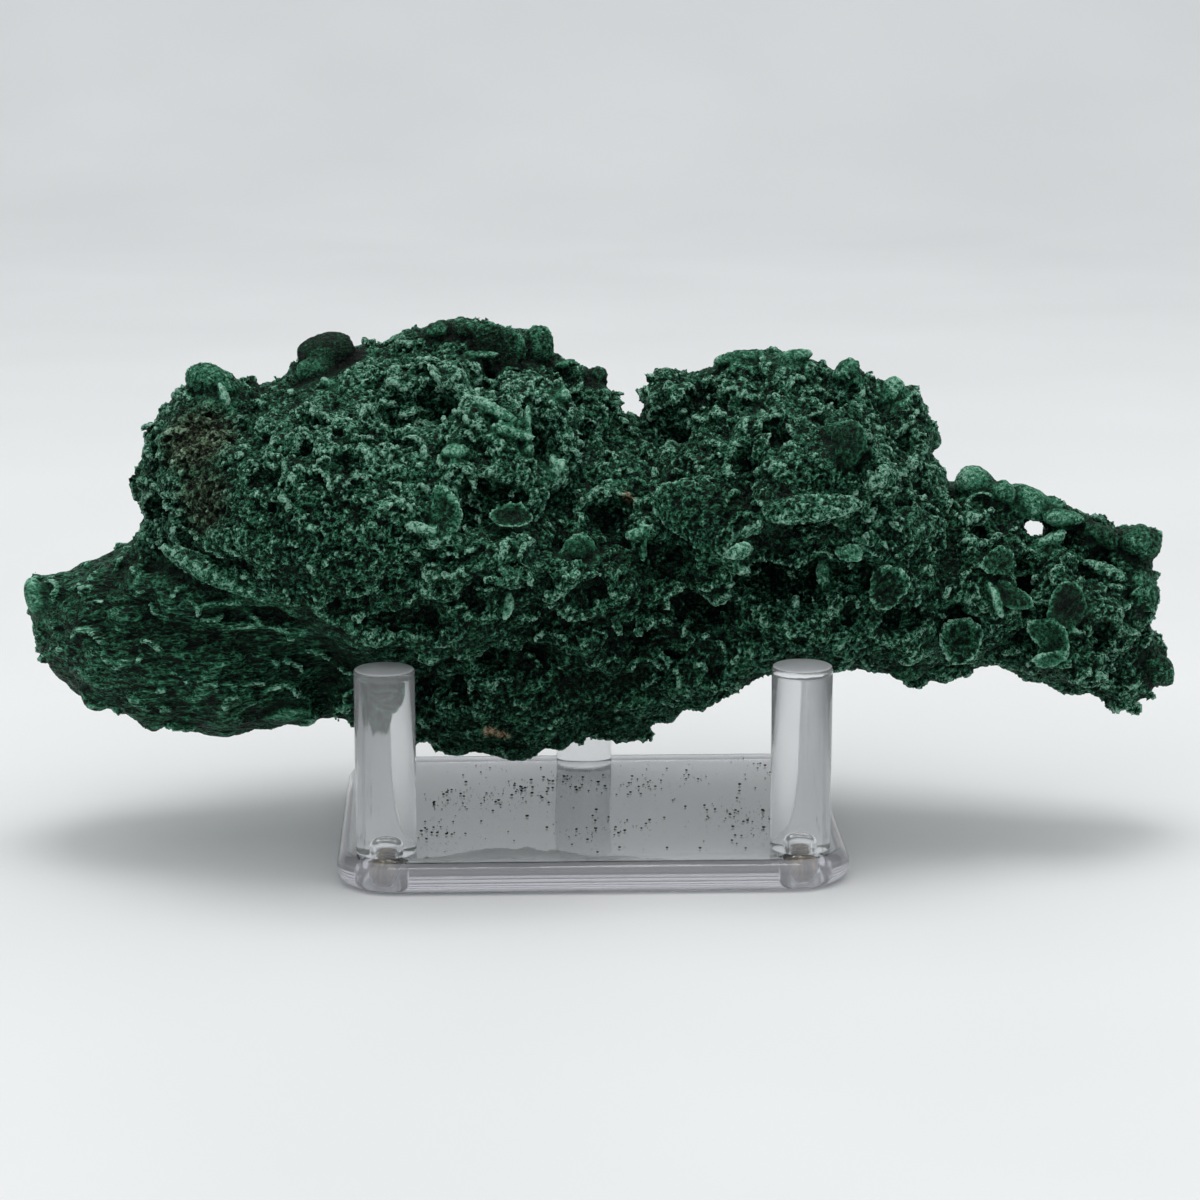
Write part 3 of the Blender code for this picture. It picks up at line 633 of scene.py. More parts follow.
def join_forms(obj):
    rng = random.Random(7)
    discs = bmesh.new()
    for form in FORMS:
        add_disc(discs, form, rng)
    bmesh.ops.recalc_face_normals(discs, faces=discs.faces)
    extra = mesh_from_bmesh("named_forms", discs)
    both = bmesh.new()
    both.from_mesh(obj.data)
    both.from_mesh(extra)
    both.to_mesh(obj.data)
    both.free()
    bpy.data.meshes.remove(extra)


# %% Grow the lumps and the leaves
PEG_NAMES = ("peg_front_left", "peg_front_right", "peg_back")
PEG_PLACES = [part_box(name) for name in PEG_NAMES]
PEG_AXES = [((low[0] + high[0]) / 2, (low[1] + high[1]) / 2) for low, high in PEG_PLACES]
PEG_RADIUS = (PEG_PLACES[0][1][0] - PEG_PLACES[0][0][0]) / 2
PEG_TOP = PEG_PLACES[0][1][2]
REST_GAP = 0.35 * MM


def near_pegs(coords):
    """1 around each peg, where nothing may grow, fading out a little wider."""
    result = np.zeros(len(coords), np.float32)
    for x, y in PEG_AXES:
        distance = np.hypot(coords[:, 0] - x, coords[:, 1] - y)
        close = ease(2.2 - distance / (PEG_RADIUS + 2 * MM))
        result = np.maximum(result, close * ease((PEG_TOP + 9 * MM - coords[:, 2]) / (3 * MM)))
    return result


def mark(mesh):
    """Keep on the points where the stone is smooth, combed or bare."""
    coords = points_of(mesh)
    for name, values in zip(("smooth", "shade", "earth"), spotted(coords)):
        store(mesh, name, values)
    store(mesh, "flow", combed(coords))
    normals = np.empty(len(mesh.vertices) * 3, np.float32)
    mesh.vertices.foreach_get("normal", normals)
    hanging = ease(-normals.reshape(-1, 3)[:, 2] * 1.6 - 0.2)
    bare = np.maximum(near_pegs(coords), 0.45 * combed(coords))
    store(mesh, "bare", np.maximum(bare, 0.8 * hanging))


mark(stone.data)
press_caves(stone.data)
add_tree(stone, lumps_tree(), Lump_size=8 * MM, Lump_height=2.6 * MM, Pit_size=6.5 * MM,
         Pit_depth=3.5 * MM, Finish=stone_finish)
applied(stone)
mark(stone.data)
add_tree(stone, leaves_tree(), Leaf_shapes=leaf_shapes, Leaf_spacing=3.6 * MM,
         Finish=stone_finish)
applied(stone)
join_forms(stone)
remesh(stone, FINE_VOXEL)
applied(stone)
print("leafy stone", count_triangles(stone), "triangles")

# %% [markdown]
# ## The crumpled skin
#
# Over all of it lies a crust of thin ridges 1 to 2 mm apart. A ridge is where a noise crosses
# its middle value: those crossings form winding, joined lines, as the crust does. On the left
# lobe the noise is stretched, so that its ridges run along the lobe like combed fibres.

# %% Ridges tree
def ridge_field(tree, position, scale, sharpness, offset):
    """1 on thin winding lines and 0 away from them."""
    moved = add_node(tree, "ShaderNodeVectorMath", {0: position, 1: offset}, operation="ADD")
    field = add_node(tree, "ShaderNodeTexNoise",
                     {"Vector": moved.outputs[0], "Scale": scale, "Detail": 2.0, "Roughness": 0.6,
                      "Distortion": 0.4})
    off_middle = math_node(tree, "ABSOLUTE", math_node(tree, "SUBTRACT", field.outputs["Fac"], 0.5))
    return math_node(tree, "SUBTRACT", 1.0, math_node(tree, "MULTIPLY", off_middle, sharpness),
                     clamp=True)


def ridges_tree():
    tree = new_geometry_tree("Crust ridges", {
        "Ridge spacing": ("NodeSocketFloat", 1.6 * MM),
        "Ridge height": ("NodeSocketFloat", 1.0 * MM),
        "Fibre spacing": ("NodeSocketFloat", 1.3 * MM),
        "Fibre height": ("NodeSocketFloat", 0.6 * MM),
    })
    given = add_node(tree, "NodeGroupInput").outputs
    position = add_node(tree, "GeometryNodeInputPosition").outputs[0]
    normal = add_node(tree, "GeometryNodeInputNormal").outputs[0]
    ridge_scale = math_node(tree, "DIVIDE", 0.5, given["Ridge spacing"])
    sponge = math_node(tree, "MAXIMUM",
                       ridge_field(tree, position, ridge_scale, 9.0, (0, 0, 0)),
                       ridge_field(tree, position, ridge_scale, 9.0, (3, 7, 1)))
    leaned = add_node(tree, "ShaderNodeVectorRotate", {
        "Vector": position, "Angle": math.radians(8)}, rotation_type="Y_AXIS")
    combed_place = add_node(tree, "ShaderNodeVectorMath", {
        0: leaned.outputs[0], 1: (0.22, 0.5, 1.0)}, operation="MULTIPLY")
    fibre_scale = math_node(tree, "DIVIDE", 0.5, given["Fibre spacing"])
    fibre = math_node(tree, "MAXIMUM",
                      ridge_field(tree, combed_place.outputs[0], fibre_scale, 6.0, (0, 0, 0)),
                      ridge_field(tree, combed_place.outputs[0], fibre_scale, 6.0, (5, 2, 9)))
    flow = named(tree, "flow")
    crest = add_node(tree, "ShaderNodeMix", {"Factor": flow, 2: sponge, 3: fibre}).outputs[0]
    height = add_node(tree, "ShaderNodeMix", {
        "Factor": flow, 2: given["Ridge height"], 3: given["Fibre height"]}).outputs[0]
    rough = math_node(tree, "SUBTRACT", 1.0, math_node(tree, "MULTIPLY", named(tree, "smooth"), 0.92))
    raised = math_node(tree, "MULTIPLY", math_node(tree, "SUBTRACT", crest, 0.5), height)
    raised = math_node(tree, "MULTIPLY", raised, rough)
    offset = add_node(tree, "ShaderNodeVectorMath", {0: normal, "Scale": raised}, operation="SCALE")
    moved = add_node(tree, "GeometryNodeSetPosition",
                     {"Geometry": given["Geometry"], "Offset": offset.outputs[0]})
    finish_tree(tree, moved.outputs[0])
    return tree


# %% Crumple the skin
mark(stone.data)
add_tree(stone, ridges_tree(), Ridge_spacing=1.35 * MM, Ridge_height=0.95 * MM,
         Fibre_spacing=1.2 * MM, Fibre_height=0.65 * MM, Finish=stone_finish)
applied(stone)

# %% Keep clear of the pegs and inside the solid's box
STONE_LOW, STONE_HIGH = [np.array(corner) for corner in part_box("malachite")]


def keep_clear(mesh):
    """Lift what would touch a peg's top, push aside what would touch its side, and keep the
    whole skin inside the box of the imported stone."""
    coords = points_of(mesh)
    for x, y in PEG_AXES:
        offset = coords[:, :2] - np.array((x, y))
        distance = np.linalg.norm(offset, axis=1)
        inside = (distance < PEG_RADIUS + REST_GAP) & (coords[:, 2] < PEG_TOP + REST_GAP)
        above = inside & (coords[:, 2] > PEG_TOP - 4 * MM)
        coords[above, 2] = PEG_TOP + REST_GAP
        beside = inside & ~above
        scale = (PEG_RADIUS + REST_GAP) / np.maximum(distance[beside], 0.01 * MM)
        coords[beside, :2] = np.array((x, y)) + offset[beside] * scale[:, None]
    coords = np.clip(coords, STONE_LOW, STONE_HIGH)
    mesh.vertices.foreach_set("co", coords.astype(np.float32).ravel())
    mesh.update()


keep_clear(stone.data)

# %% [markdown]
# ## Painted light on edges and painted shade in hollows
#
# Every edge of the stone is painted pale as a highlight and every hollow nearly black as shade.
# The script measures that on the mesh itself: a point is compared with the average place of its
# neighbours. If it stands out along its normal it is on an edge, if it lies back it is in a hollow.
# Two widths of neighbourhood are kept, one for the fine ridges and one for the leaves and ledges.

# %% Edges tree
def edges_tree():
    tree = new_geometry_tree("Edges and hollows", {
        "Near passes": ("NodeSocketInt", 6),
        "Wide passes": ("NodeSocketInt", 60),
    })
    given = add_node(tree, "NodeGroupInput").outputs
    position = add_node(tree, "GeometryNodeInputPosition").outputs[0]
    normal = add_node(tree, "GeometryNodeInputNormal").outputs[0]
    result = given["Geometry"]
    for name, passes, unit in (("near_edge", "Near passes", 0.3), ("wide_edge", "Wide passes", 1.2)):
        average = add_node(tree, "GeometryNodeBlurAttribute", {
            "Value": position, "Iterations": given[passes]}, data_type="FLOAT_VECTOR")
        step = add_node(tree, "ShaderNodeVectorMath", {0: position, 1: average.outputs[0]},
                        operation="SUBTRACT")
        out = add_node(tree, "ShaderNodeVectorMath", {0: step.outputs[0], 1: normal},
                       operation="DOT_PRODUCT")
        level = math_node(tree, "DIVIDE", out.outputs["Value"], unit * MM)
        result = add_node(tree, "GeometryNodeStoreNamedAttribute", {
            "Geometry": result, "Name": name, "Value": level},
            data_type="FLOAT", domain="POINT").outputs[0]
    finish_tree(tree, result)
    return tree


add_tree(stone, edges_tree(), Near_passes=6, Wide_passes=60, Finish=stone_finish)
applied(stone)
stone.data.shade_smooth()
for name in ("near_edge", "wide_edge"):
    levels = np.empty(len(stone.data.vertices), np.float32)
    stone.data.attributes[name].data.foreach_get("value", levels)
    print(name, "percentiles", np.round(np.percentile(levels, (5, 25, 50, 75, 95)), 2))
print("stone", count_triangles(stone), "triangles")

# %% [markdown]
# ## The malachite finish
#
# Malachite is a copper carbonate, and its green comes from the copper. Fibres that catch the light
# on a crest look pale teal, and the pits between them look almost black, because the light is lost
# among the fibres. That light and shade is painted into the colour: the shader mixes those greens
# by the edge and hollow levels kept on the points, painted highlight on crests, painted shade in pits.

# %% Malachite shader
def shader_tree(material):
    material.use_nodes = True
    material.node_tree.nodes.clear()
    return material.node_tree


def new_material(name):
    material = bpy.data.materials.new(name)
    return material, shader_tree(material)


MALACHITE_TONES = ((0.0, "#000100"), (0.25, "#010604"), (0.45, "#07180f"), (0.62, "#153f2b"),
                   (0.80, "#3d7e60"), (1.0, "#9ccdb5"))
# Brown iron stain and beige host rock, where the green crust is thin
EARTH_TONES = ((0.25, "#0c0906"), (0.50, "#33271e"), (0.75, "#7d6348"), (1.0, "#c5a887"))


def tone_ramp(tree, factor, tones):
    """Output of a colour ramp through (place, hex colour) pairs."""
    ramp = add_node(tree, "ShaderNodeValToRGB", {"Fac": factor})
    elements = ramp.color_ramp.elements
    while len(elements) < len(tones):
        elements.new(0.5)
    for element, (place, colour) in zip(elements, tones):
        element.position = place
        element.color = linear(colour)
    return ramp.outputs["Color"]


def build_malachite(material):
    tree = shader_tree(material)
    place = add_node(tree, "ShaderNodeTexCoord").outputs["Object"]
    near, wide, shade, smooth, flow, earth = [
        add_node(tree, "ShaderNodeAttribute", attribute_name=kept).outputs["Fac"]
        for kept in ("near_edge", "wide_edge", "shade", "smooth", "flow", "earth")]
    grain = add_node(tree, "ShaderNodeTexNoise", {
        "Vector": place, "Scale": 1300.0, "Detail": 3.0, "Roughness": 0.65}).outputs["Fac"]
    patches = add_node(tree, "ShaderNodeTexNoise", {
        "Vector": place, "Scale": 75.0, "Detail": 3.0}).outputs["Fac"]
    along = add_node(tree, "ShaderNodeMapping", {
        "Vector": place, "Rotation": (0, math.radians(8), 0), "Scale": (0.3, 0.6, 1.0)})
    threads = math_node(tree, "MAXIMUM",
                        ridge_field(tree, place, 600.0, 11.0, (0, 0, 0)),
                        ridge_field(tree, place, 850.0, 9.0, (2, 5, 3)))
    fibres = math_node(tree, "MAXIMUM",
                       ridge_field(tree, along.outputs[0], 700.0, 10.0, (0, 0, 0)),
                       ridge_field(tree, along.outputs[0], 950.0, 9.0, (4, 1, 6)))
    lines = add_node(tree, "ShaderNodeMix", {"Factor": flow, 2: threads, 3: fibres}).outputs[0]
    rough = math_node(tree, "MULTIPLY_ADD", smooth, -0.6, 1.0)
    lines = math_node(tree, "MULTIPLY", lines, rough)
    # Painted highlight on the edges and painted shade in the hollows, from both edge levels
    level = math_node(tree, "MULTIPLY_ADD", near, 0.16, 0.285)
    level = math_node(tree, "MULTIPLY_ADD", wide, 0.15, level)
    # Painted highlight along the fine crest lines; the same lines also make the bump
    level = math_node(tree, "MULTIPLY_ADD", lines, 0.44, level)
    level = math_node(tree, "MULTIPLY_ADD", smooth, 0.09, level)
    level = math_node(tree, "MULTIPLY_ADD", math_node(tree, "SUBTRACT", grain, 0.5), 0.55, level)
    level = math_node(tree, "MULTIPLY_ADD", math_node(tree, "SUBTRACT", patches, 0.5), 0.3, level)
    # Painted light and shade of the wide patches, with the named forms' own pale and dark tones and the
    # stains
    level = math_node(tree, "MULTIPLY_ADD", shade, 0.22, level)
    colour = add_node(tree, "ShaderNodeMix", {
        "Factor": earth, 6: tone_ramp(tree, level, MALACHITE_TONES),
        7: tone_ramp(tree, level, EARTH_TONES)}, data_type="RGBA").outputs[2]
    relief = math_node(tree, "MULTIPLY_ADD", grain, 0.5, lines)
    bump = add_node(tree, "ShaderNodeBump", {
        "Height": relief, "Strength": 1.0, "Distance": 0.45 * MM})
    shader = add_node(tree, "ShaderNodeBsdfPrincipled", {
        "Base Color": colour, "Roughness": 0.5, "Normal": bump.outputs[0],
        "Specular IOR Level": 0.12})
    add_node(tree, "ShaderNodeOutputMaterial", {"Surface": shader.outputs[0]})


build_malachite(stone_finish)

# %% Part the stone into slabs
# One stone, but its skin has too many faces for one mesh. One stone, but its skin is parted
# into slabs along X that meet edge to edge. Each keeps the normals of the whole, so that no
# seam shows.
SLABS = 6


def keep_whole_normals(mesh):
    normals = np.empty(len(mesh.vertices) * 3, np.float32)
    mesh.vertices.foreach_get("normal", normals)
    mesh.attributes.new("whole_normal", "FLOAT_VECTOR", "POINT").data.foreach_set("vector", normals)


def slab_mesh(mesh, name, inside):
    """The faces of a mesh that are marked inside, with the normals of the whole mesh."""
    bm = bmesh.new()
    bm.from_mesh(mesh)
    bmesh.ops.delete(bm, geom=[face for face, kept in zip(bm.faces, inside) if not kept],
                     context="FACES")
    part = mesh_from_bmesh(name, bm)
    normals = np.empty(len(part.vertices) * 3, np.float32)
    part.attributes["whole_normal"].data.foreach_get("vector", normals)
    part.normals_split_custom_set_from_vertices(normals.reshape(-1, 3).tolist())
    part.attributes.remove(part.attributes["whole_normal"])
    return part


keep_whole_normals(stone.data)
middles = np.empty(len(stone.data.polygons) * 3, np.float32)
stone.data.polygons.foreach_get("center", middles)
middles = middles.reshape(-1, 3)[:, 0]
cuts = np.quantile(middles, np.linspace(0, 1, SLABS + 1))
cuts[0], cuts[-1] = -1, 1
for index, (low, high) in enumerate(zip(cuts, cuts[1:])):
    name = f"malachite_stone_{index + 1}"
    inside = (middles >= low) & (middles < high)
    slab = new_object(name, slab_mesh(stone.data, name, inside.tolist()), stone_finish)
    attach(slab, "root")
    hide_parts("malachite")
    print(name, count_triangles(slab), "triangles")
bpy.data.objects.remove(stone)

# %% [markdown]
# ## The clear stand
#
# Such stands are sawn from cast acrylic sheet and rod, polished, and screwed together from
# below. Light bends in every curve of clear plastic, so the facets of a coarse solid would show
# at once. The plate, the pegs and the screws are turned and rounded again here with many more
# steps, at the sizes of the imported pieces.

# %% Turned pieces
PEG_STEPS = 96


def turned(name, profile, steps, centre=(0.0, 0.0)):
    """A closed turned solid. The profile's (radius, height) points run from the top of the axis
    down the outer side to the bottom of the axis."""
    bm = bmesh.new()
    rings = []
    for radius, height in profile:
        if radius == 0:
            rings.append([bm.verts.new((*centre, height))])
            continue
        angles = [2 * math.pi * i / steps for i in range(steps)]
        rings.append([bm.verts.new((centre[0] + radius * math.cos(t),
                                    centre[1] + radius * math.sin(t), height)) for t in angles])
    for upper, lower in zip(rings, rings[1:]):
        for i in range(steps):
            j = (i + 1) % steps
            corners = [upper[i % len(upper)], lower[i % len(lower)],
                       lower[j % len(lower)], upper[j % len(upper)]]
            bm.faces.new(list(dict.fromkeys(corners)))
    bmesh.ops.recalc_face_normals(bm, faces=bm.faces)
    mesh = mesh_from_bmesh(name, bm)
    mesh.shade_smooth()
    mesh.set_sharp_from_angle(angle=math.radians(32))
    return mesh


def arc(centre_radius, centre_height, radius, start, end, steps):
    """Points of a round stretch in a profile, from start to end degrees."""
    return [(centre_radius + radius * math.cos(math.radians(start + (end - start) * i / steps)),
             centre_height + radius * math.sin(math.radians(start + (end - start) * i / steps)))
            for i in range(steps + 1)]


# %% Pegs
PEG_CHAMFER = 0.7 * MM
GROOVE_DROP = 1.6 * MM
GROOVE_DEPTH = 0.12 * MM
BUBBLE_RADIUS = 2.2 * MM
HOLE_DEPTH = 3.8 * MM
PEG_FOOT = PEG_PLACES[0][0][2]


def peg_profile(drilled):
    """The outside of a peg and, in the front pegs, the round-ended hole for the screw."""
    groove = PEG_TOP - GROOVE_DROP
    shoulder = PEG_FOOT + HOLE_DEPTH - BUBBLE_RADIUS
    outside = [
        (0.0, PEG_TOP),
        (PEG_RADIUS - PEG_CHAMFER - 0.3 * MM, PEG_TOP),
        *arc(PEG_RADIUS - PEG_CHAMFER, PEG_TOP - PEG_CHAMFER, PEG_CHAMFER, 90, 0, 6),
        (PEG_RADIUS, groove + 2 * GROOVE_DEPTH),
        (PEG_RADIUS - GROOVE_DEPTH, groove),
        (PEG_RADIUS, groove - 2 * GROOVE_DEPTH),
        *arc(PEG_RADIUS - 0.3 * MM, PEG_FOOT + 0.3 * MM, 0.3 * MM, 0, -90, 4),
    ]
    if not drilled:
        return outside + [(0.0, PEG_FOOT)]
    return outside + [(BUBBLE_RADIUS, PEG_FOOT), *arc(0.0, shoulder, BUBBLE_RADIUS, 0, 82, 12),
                      (0.0, shoulder + BUBBLE_RADIUS)]


pegs = {}
for name, axis in zip(PEG_NAMES, PEG_AXES):
    drilled = name.replace("peg", "screw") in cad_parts
    pegs[name] = new_object(
        name + "_clear", turned(name + "_clear", peg_profile(drilled), PEG_STEPS, axis))
print("peg", count_triangles(pegs["peg_back"]), "triangles")

# %% Screws
# A countersunk screw with a rolled thread; the thread is drawn as rings, its slope can't be seen
SCREW_RADIUS = 1.8 * MM
THREAD_DEPTH = 0.32 * MM
THREAD_PITCH = 0.7 * MM
HEAD_RADIUS = 4.2 * MM
HEAD_HEIGHT = 2.4 * MM
HEAD_RIM = 0.4 * MM


def screw_points(low, high):
    head_top = low + HEAD_HEIGHT
    profile = [(0.0, high), (SCREW_RADIUS * 0.55, high)]
    height = high - 0.5 * THREAD_PITCH
    while height > head_top + THREAD_PITCH:
        profile += [(SCREW_RADIUS, height), (SCREW_RADIUS - THREAD_DEPTH, height - THREAD_PITCH / 2)]
        height -= THREAD_PITCH
    return profile + [
        (SCREW_RADIUS, head_top), (HEAD_RADIUS, low + HEAD_RIM), (HEAD_RADIUS, low),
        (1.5 * MM, low), (1.3 * MM, low + 1.4 * MM), (0.0, low + 1.5 * MM)]


SCREW_AXES = {name: axis for name, axis in (
    (peg.replace("peg", "screw"), axis) for peg, axis in zip(PEG_NAMES, PEG_AXES))
    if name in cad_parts}
screws = {}
for name, axis in SCREW_AXES.items():
    low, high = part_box(name)
    screws[name] = new_object(
        name + "_turned", turned(name + "_turned", screw_points(low[2], high[2]), 48, axis))
print("screw", count_triangles(screws["screw_front_left"]), "triangles")

# %% Plate
PLATE_LOW, PLATE_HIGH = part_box("base_plate")
PLATE_CORNER = 12 * MM
PLATE_EDGE = 2.8 * MM
CORNER_STEPS = 24
EDGE_STEPS = 8
CLEARANCE = 0.3 * MM


def plate_ring(bm, inset, height):
    """One level of the plate: a rectangle with round corners, smaller by the inset."""
    radius = PLATE_CORNER - inset
    ring = []
    for corner, (side_x, side_y) in enumerate(((1, 1), (-1, 1), (-1, -1), (1, -1))):
        middle_x = side_x * ((PLATE_HIGH[0] - PLATE_LOW[0]) / 2 - PLATE_CORNER)
        middle_y = side_y * ((PLATE_HIGH[1] - PLATE_LOW[1]) / 2 - PLATE_CORNER)
        for step in range(CORNER_STEPS + 1):
            angle = math.radians(90) * (corner + step / CORNER_STEPS)
            ring.append(bm.verts.new((middle_x + radius * math.cos(angle),
                                      middle_y + radius * math.sin(angle), height)))
    return ring


def plate_mesh():
    bm = bmesh.new()
    levels = [(PLATE_EDGE * (1 - math.sin(math.radians(90 * i / EDGE_STEPS))),
               PLATE_LOW[2] + PLATE_EDGE * (1 - math.cos(math.radians(90 * i / EDGE_STEPS))))
              for i in range(EDGE_STEPS + 1)]
    levels += [(inset, PLATE_HIGH[2] + PLATE_LOW[2] - height) for inset, height in reversed(levels)]
    rings = [plate_ring(bm, inset, height) for inset, height in levels]
    for lower, upper in zip(rings, rings[1:]):
        for i in range(len(lower)):
            j = (i + 1) % len(lower)
            bm.faces.new((lower[i], lower[j], upper[j], upper[i]))
    bm.faces.new(list(reversed(rings[0])))
    bm.faces.new(rings[-1])
    bmesh.ops.recalc_face_normals(bm, faces=bm.faces)
    return mesh_from_bmesh("base_plate_clear", bm)


plate = new_object("base_plate_clear", plate_mesh())
drills = []
for name, axis in SCREW_AXES.items():
    low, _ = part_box(name)
    shank, head = SCREW_RADIUS + CLEARANCE, HEAD_RADIUS + CLEARANCE
    hole = [(0.0, 9 * MM), (shank, 9 * MM), (shank, low[2] + HEAD_HEIGHT + CLEARANCE),
            (head, low[2] + HEAD_RIM), (head, -3 * MM), (0.0, -3 * MM)]
    drill = new_object("drill_" + name, turned("drill_" + name, hole, 64, axis))
    cut = plate.modifiers.new("Hole", "BOOLEAN")
    cut.operation = "DIFFERENCE"
    cut.solver = "EXACT"
    cut.object = drill
    drills.append(drill)
applied(plate)
for drill in drills:
    bpy.data.objects.remove(drill)
plate.data.shade_smooth()
plate.data.set_sharp_from_angle(angle=math.radians(32))
print("plate", count_triangles(plate), "triangles")

# %% [markdown]
# ## Acrylic and brass
#
# Cast acrylic is as clear as glass but bends light a little less: its index is 1.49. Polishing
# leaves it glossy, while turning and handling leave fine rings on the pegs and faint smears on
# the plate. Both are shallow bumps, because a scratch in clear plastic only shows by the light
# that it bends. The screws are brass-plated steel, dulled by age.

# %% Acrylic shader
def acrylic_material(name, scratch_stretch, scratch_depth, dullness, colour, clearness):
    """scratch_stretch scales the pattern along X, Y and Z, in waves per metre. dullness is the
    roughness between and on the smears. clearness is below 1 where scratches scatter the light."""
    material, tree = new_material(name)
    place = add_node(tree, "ShaderNodeTexCoord").outputs["Object"]
    stretched = add_node(tree, "ShaderNodeMapping", {"Vector": place, "Scale": scratch_stretch})
    scratches = add_node(tree, "ShaderNodeTexNoise", {
        "Vector": stretched.outputs[0], "Scale": 1.0, "Detail": 4.0, "Roughness": 0.7}).outputs["Fac"]
    smears = add_node(tree, "ShaderNodeTexNoise", {
        "Vector": place, "Scale": 90.0, "Detail": 4.0, "Roughness": 0.6}).outputs["Fac"]
    bump = add_node(tree, "ShaderNodeBump", {
        "Height": scratches, "Strength": 0.25, "Distance": scratch_depth})
    dull = add_node(tree, "ShaderNodeMapRange", {
        "Value": smears, "From Min": 0.4, "From Max": 0.7, "To Min": dullness[0], "To Max": dullness[1]})
    shader = add_node(tree, "ShaderNodeBsdfPrincipled", {
        "Base Color": linear(colour), "Roughness": dull.outputs["Result"], "IOR": 1.49,
        "Transmission Weight": clearness, "Normal": bump.outputs[0]})
    add_node(tree, "ShaderNodeOutputMaterial", {"Surface": shader.outputs[0]})
    return material


def screw_material():
    material, tree = new_material("dull brass-plated steel")
    place = add_node(tree, "ShaderNodeTexCoord").outputs["Object"]
    tarnish = add_node(tree, "ShaderNodeTexNoise", {
        "Vector": place, "Scale": 900.0, "Detail": 3.0}).outputs["Fac"]
    colour = tone_ramp(tree, tarnish, ((0.35, "#3a3428"), (0.65, "#a08b5c")))
    shader = add_node(tree, "ShaderNodeBsdfPrincipled", {
        "Base Color": colour, "Metallic": 1.0, "Roughness": 0.35})
    add_node(tree, "ShaderNodeOutputMaterial", {"Surface": shader.outputs[0]})
    return material


peg_finish = acrylic_material(
    "turned and polished cast acrylic", (120, 120, 2600), 0.03 * MM, (0.03, 0.12), "#fbfcfd", 0.88)
peg_top_finish = acrylic_material(
    "sawn cast acrylic rod end", (900, 900, 900), 0.03 * MM, (0.30, 0.50), "#e6e8ea", 0.30)
plate_finish = acrylic_material(
    "polished cast acrylic sheet", (300, 300, 300), 0.004 * MM, (0.0, 0.06), "#fbfcfd", 0.96)
plate_edge_finish = acrylic_material(
    "sawn and flame-polished acrylic edge", (500, 500, 900), 0.02 * MM, (0.04, 0.14), "#f4f3fa", 0.74)
screw_finish = screw_material()


def dress(piece, main_finish, other_finish, is_other):
    """Give a piece two finishes. is_other says of a face which of them it has."""
    piece.data.materials.clear()
    piece.data.materials.append(main_finish)
    piece.data.materials.append(other_finish)
    for polygon in piece.data.polygons:
        polygon.material_index = int(is_other(polygon))


def on_plate_edge(polygon):
    inwards = [PLATE_HIGH[axis] - abs(polygon.center[axis]) for axis in (0, 1)]
    corner = math.hypot(*[max(PLATE_CORNER - gap, 0) for gap in inwards]) > PLATE_CORNER - PLATE_EDGE
    return (min(inwards) < PLATE_EDGE or corner) and abs(polygon.normal.z) < 0.97


for name, piece in pegs.items():
    dress(piece, peg_finish, peg_top_finish,
          lambda polygon: polygon.center.z > PEG_TOP - 0.2 * MM)
    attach(piece, "root")
    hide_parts(name)
for name, piece in screws.items():
    piece.data.materials.append(screw_finish)
    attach(piece, "root")
    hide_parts(name)
dress(plate, plate_finish, plate_edge_finish, on_plate_edge)
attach(plate, "root")
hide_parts("base_plate")

# %% [markdown]
# ## Crumbs on the plate
#
# A fibrous stone sheds. The photograph shows dark crumbs and dust on the plate, dense in a few
# drifts and thin between them. They are strewn by Geometry Nodes over the top of the plate, as
# dense as a number kept on its points, which comes from the places of the drifts.

# %% Crumbs
CRUMB_SEED = 11
DUST_HEIGHT = 0.02 * MM
# Pixel of the photograph, radius in millimetres, share of the full density
DRIFTS = ((470, 800, 8, 0.9), (520, 792, 8, 0.8), (575, 782, 8, 0.6), (640, 785, 9, 0.5),
          (740, 815, 6, 0.9), (757, 832, 4, 0.9), (432, 835, 5, 0.8), (600, 830, 9, 0.4),
          (690, 778, 5, 0.7), (490, 770, 5, 0.5))
THIN_DUST = 0.05


def crumb_mesh(name, seed):
    """A small uneven lump of unit size that stands on z = 0."""
    rng = random.Random(seed)
    bm = bmesh.new()
    bmesh.ops.create_icosphere(bm, subdivisions=1, radius=1.0)
    for vert in bm.verts:
        vert.co *= rng.uniform(0.65, 1.15)
        vert.co.z = 0.62 * vert.co.z + 0.72
    return mesh_from_bmesh(name, bm)


def dusty_ground():
    """The plate's top as a grid with the density of the crumbs on its points."""
    bm = bmesh.new()
    bmesh.ops.create_grid(bm, x_segments=60, y_segments=50, size=1.0)
    for vert in bm.verts:
        vert.co.x *= PLATE_HIGH[0] - 6 * MM
        vert.co.y *= PLATE_HIGH[1] - 6 * MM
        vert.co.z = PLATE_HIGH[2] + DUST_HEIGHT
    mesh = mesh_from_bmesh("plate_crumbs", bm)
    coords = points_of(mesh)
    dust = np.full(len(coords), THIN_DUST, np.float32)
    for x, y, radius, density in DRIFTS:
        ray = pixel_ray(x, y)
        place = CAMERA_PLACE + ray * ((PLATE_HIGH[2] - CAMERA_PLACE.z) / ray.z)
        away = np.hypot(coords[:, 0] - place.x, coords[:, 1] - place.y) / (radius * MM)
        dust = np.maximum(dust, density * np.exp(-away ** 2))
    for x, y in PEG_AXES:
        dust[np.hypot(coords[:, 0] - x, coords[:, 1] - y) < PEG_RADIUS + 2 * MM] = 0
    store(mesh, "dust", dust)
    return mesh


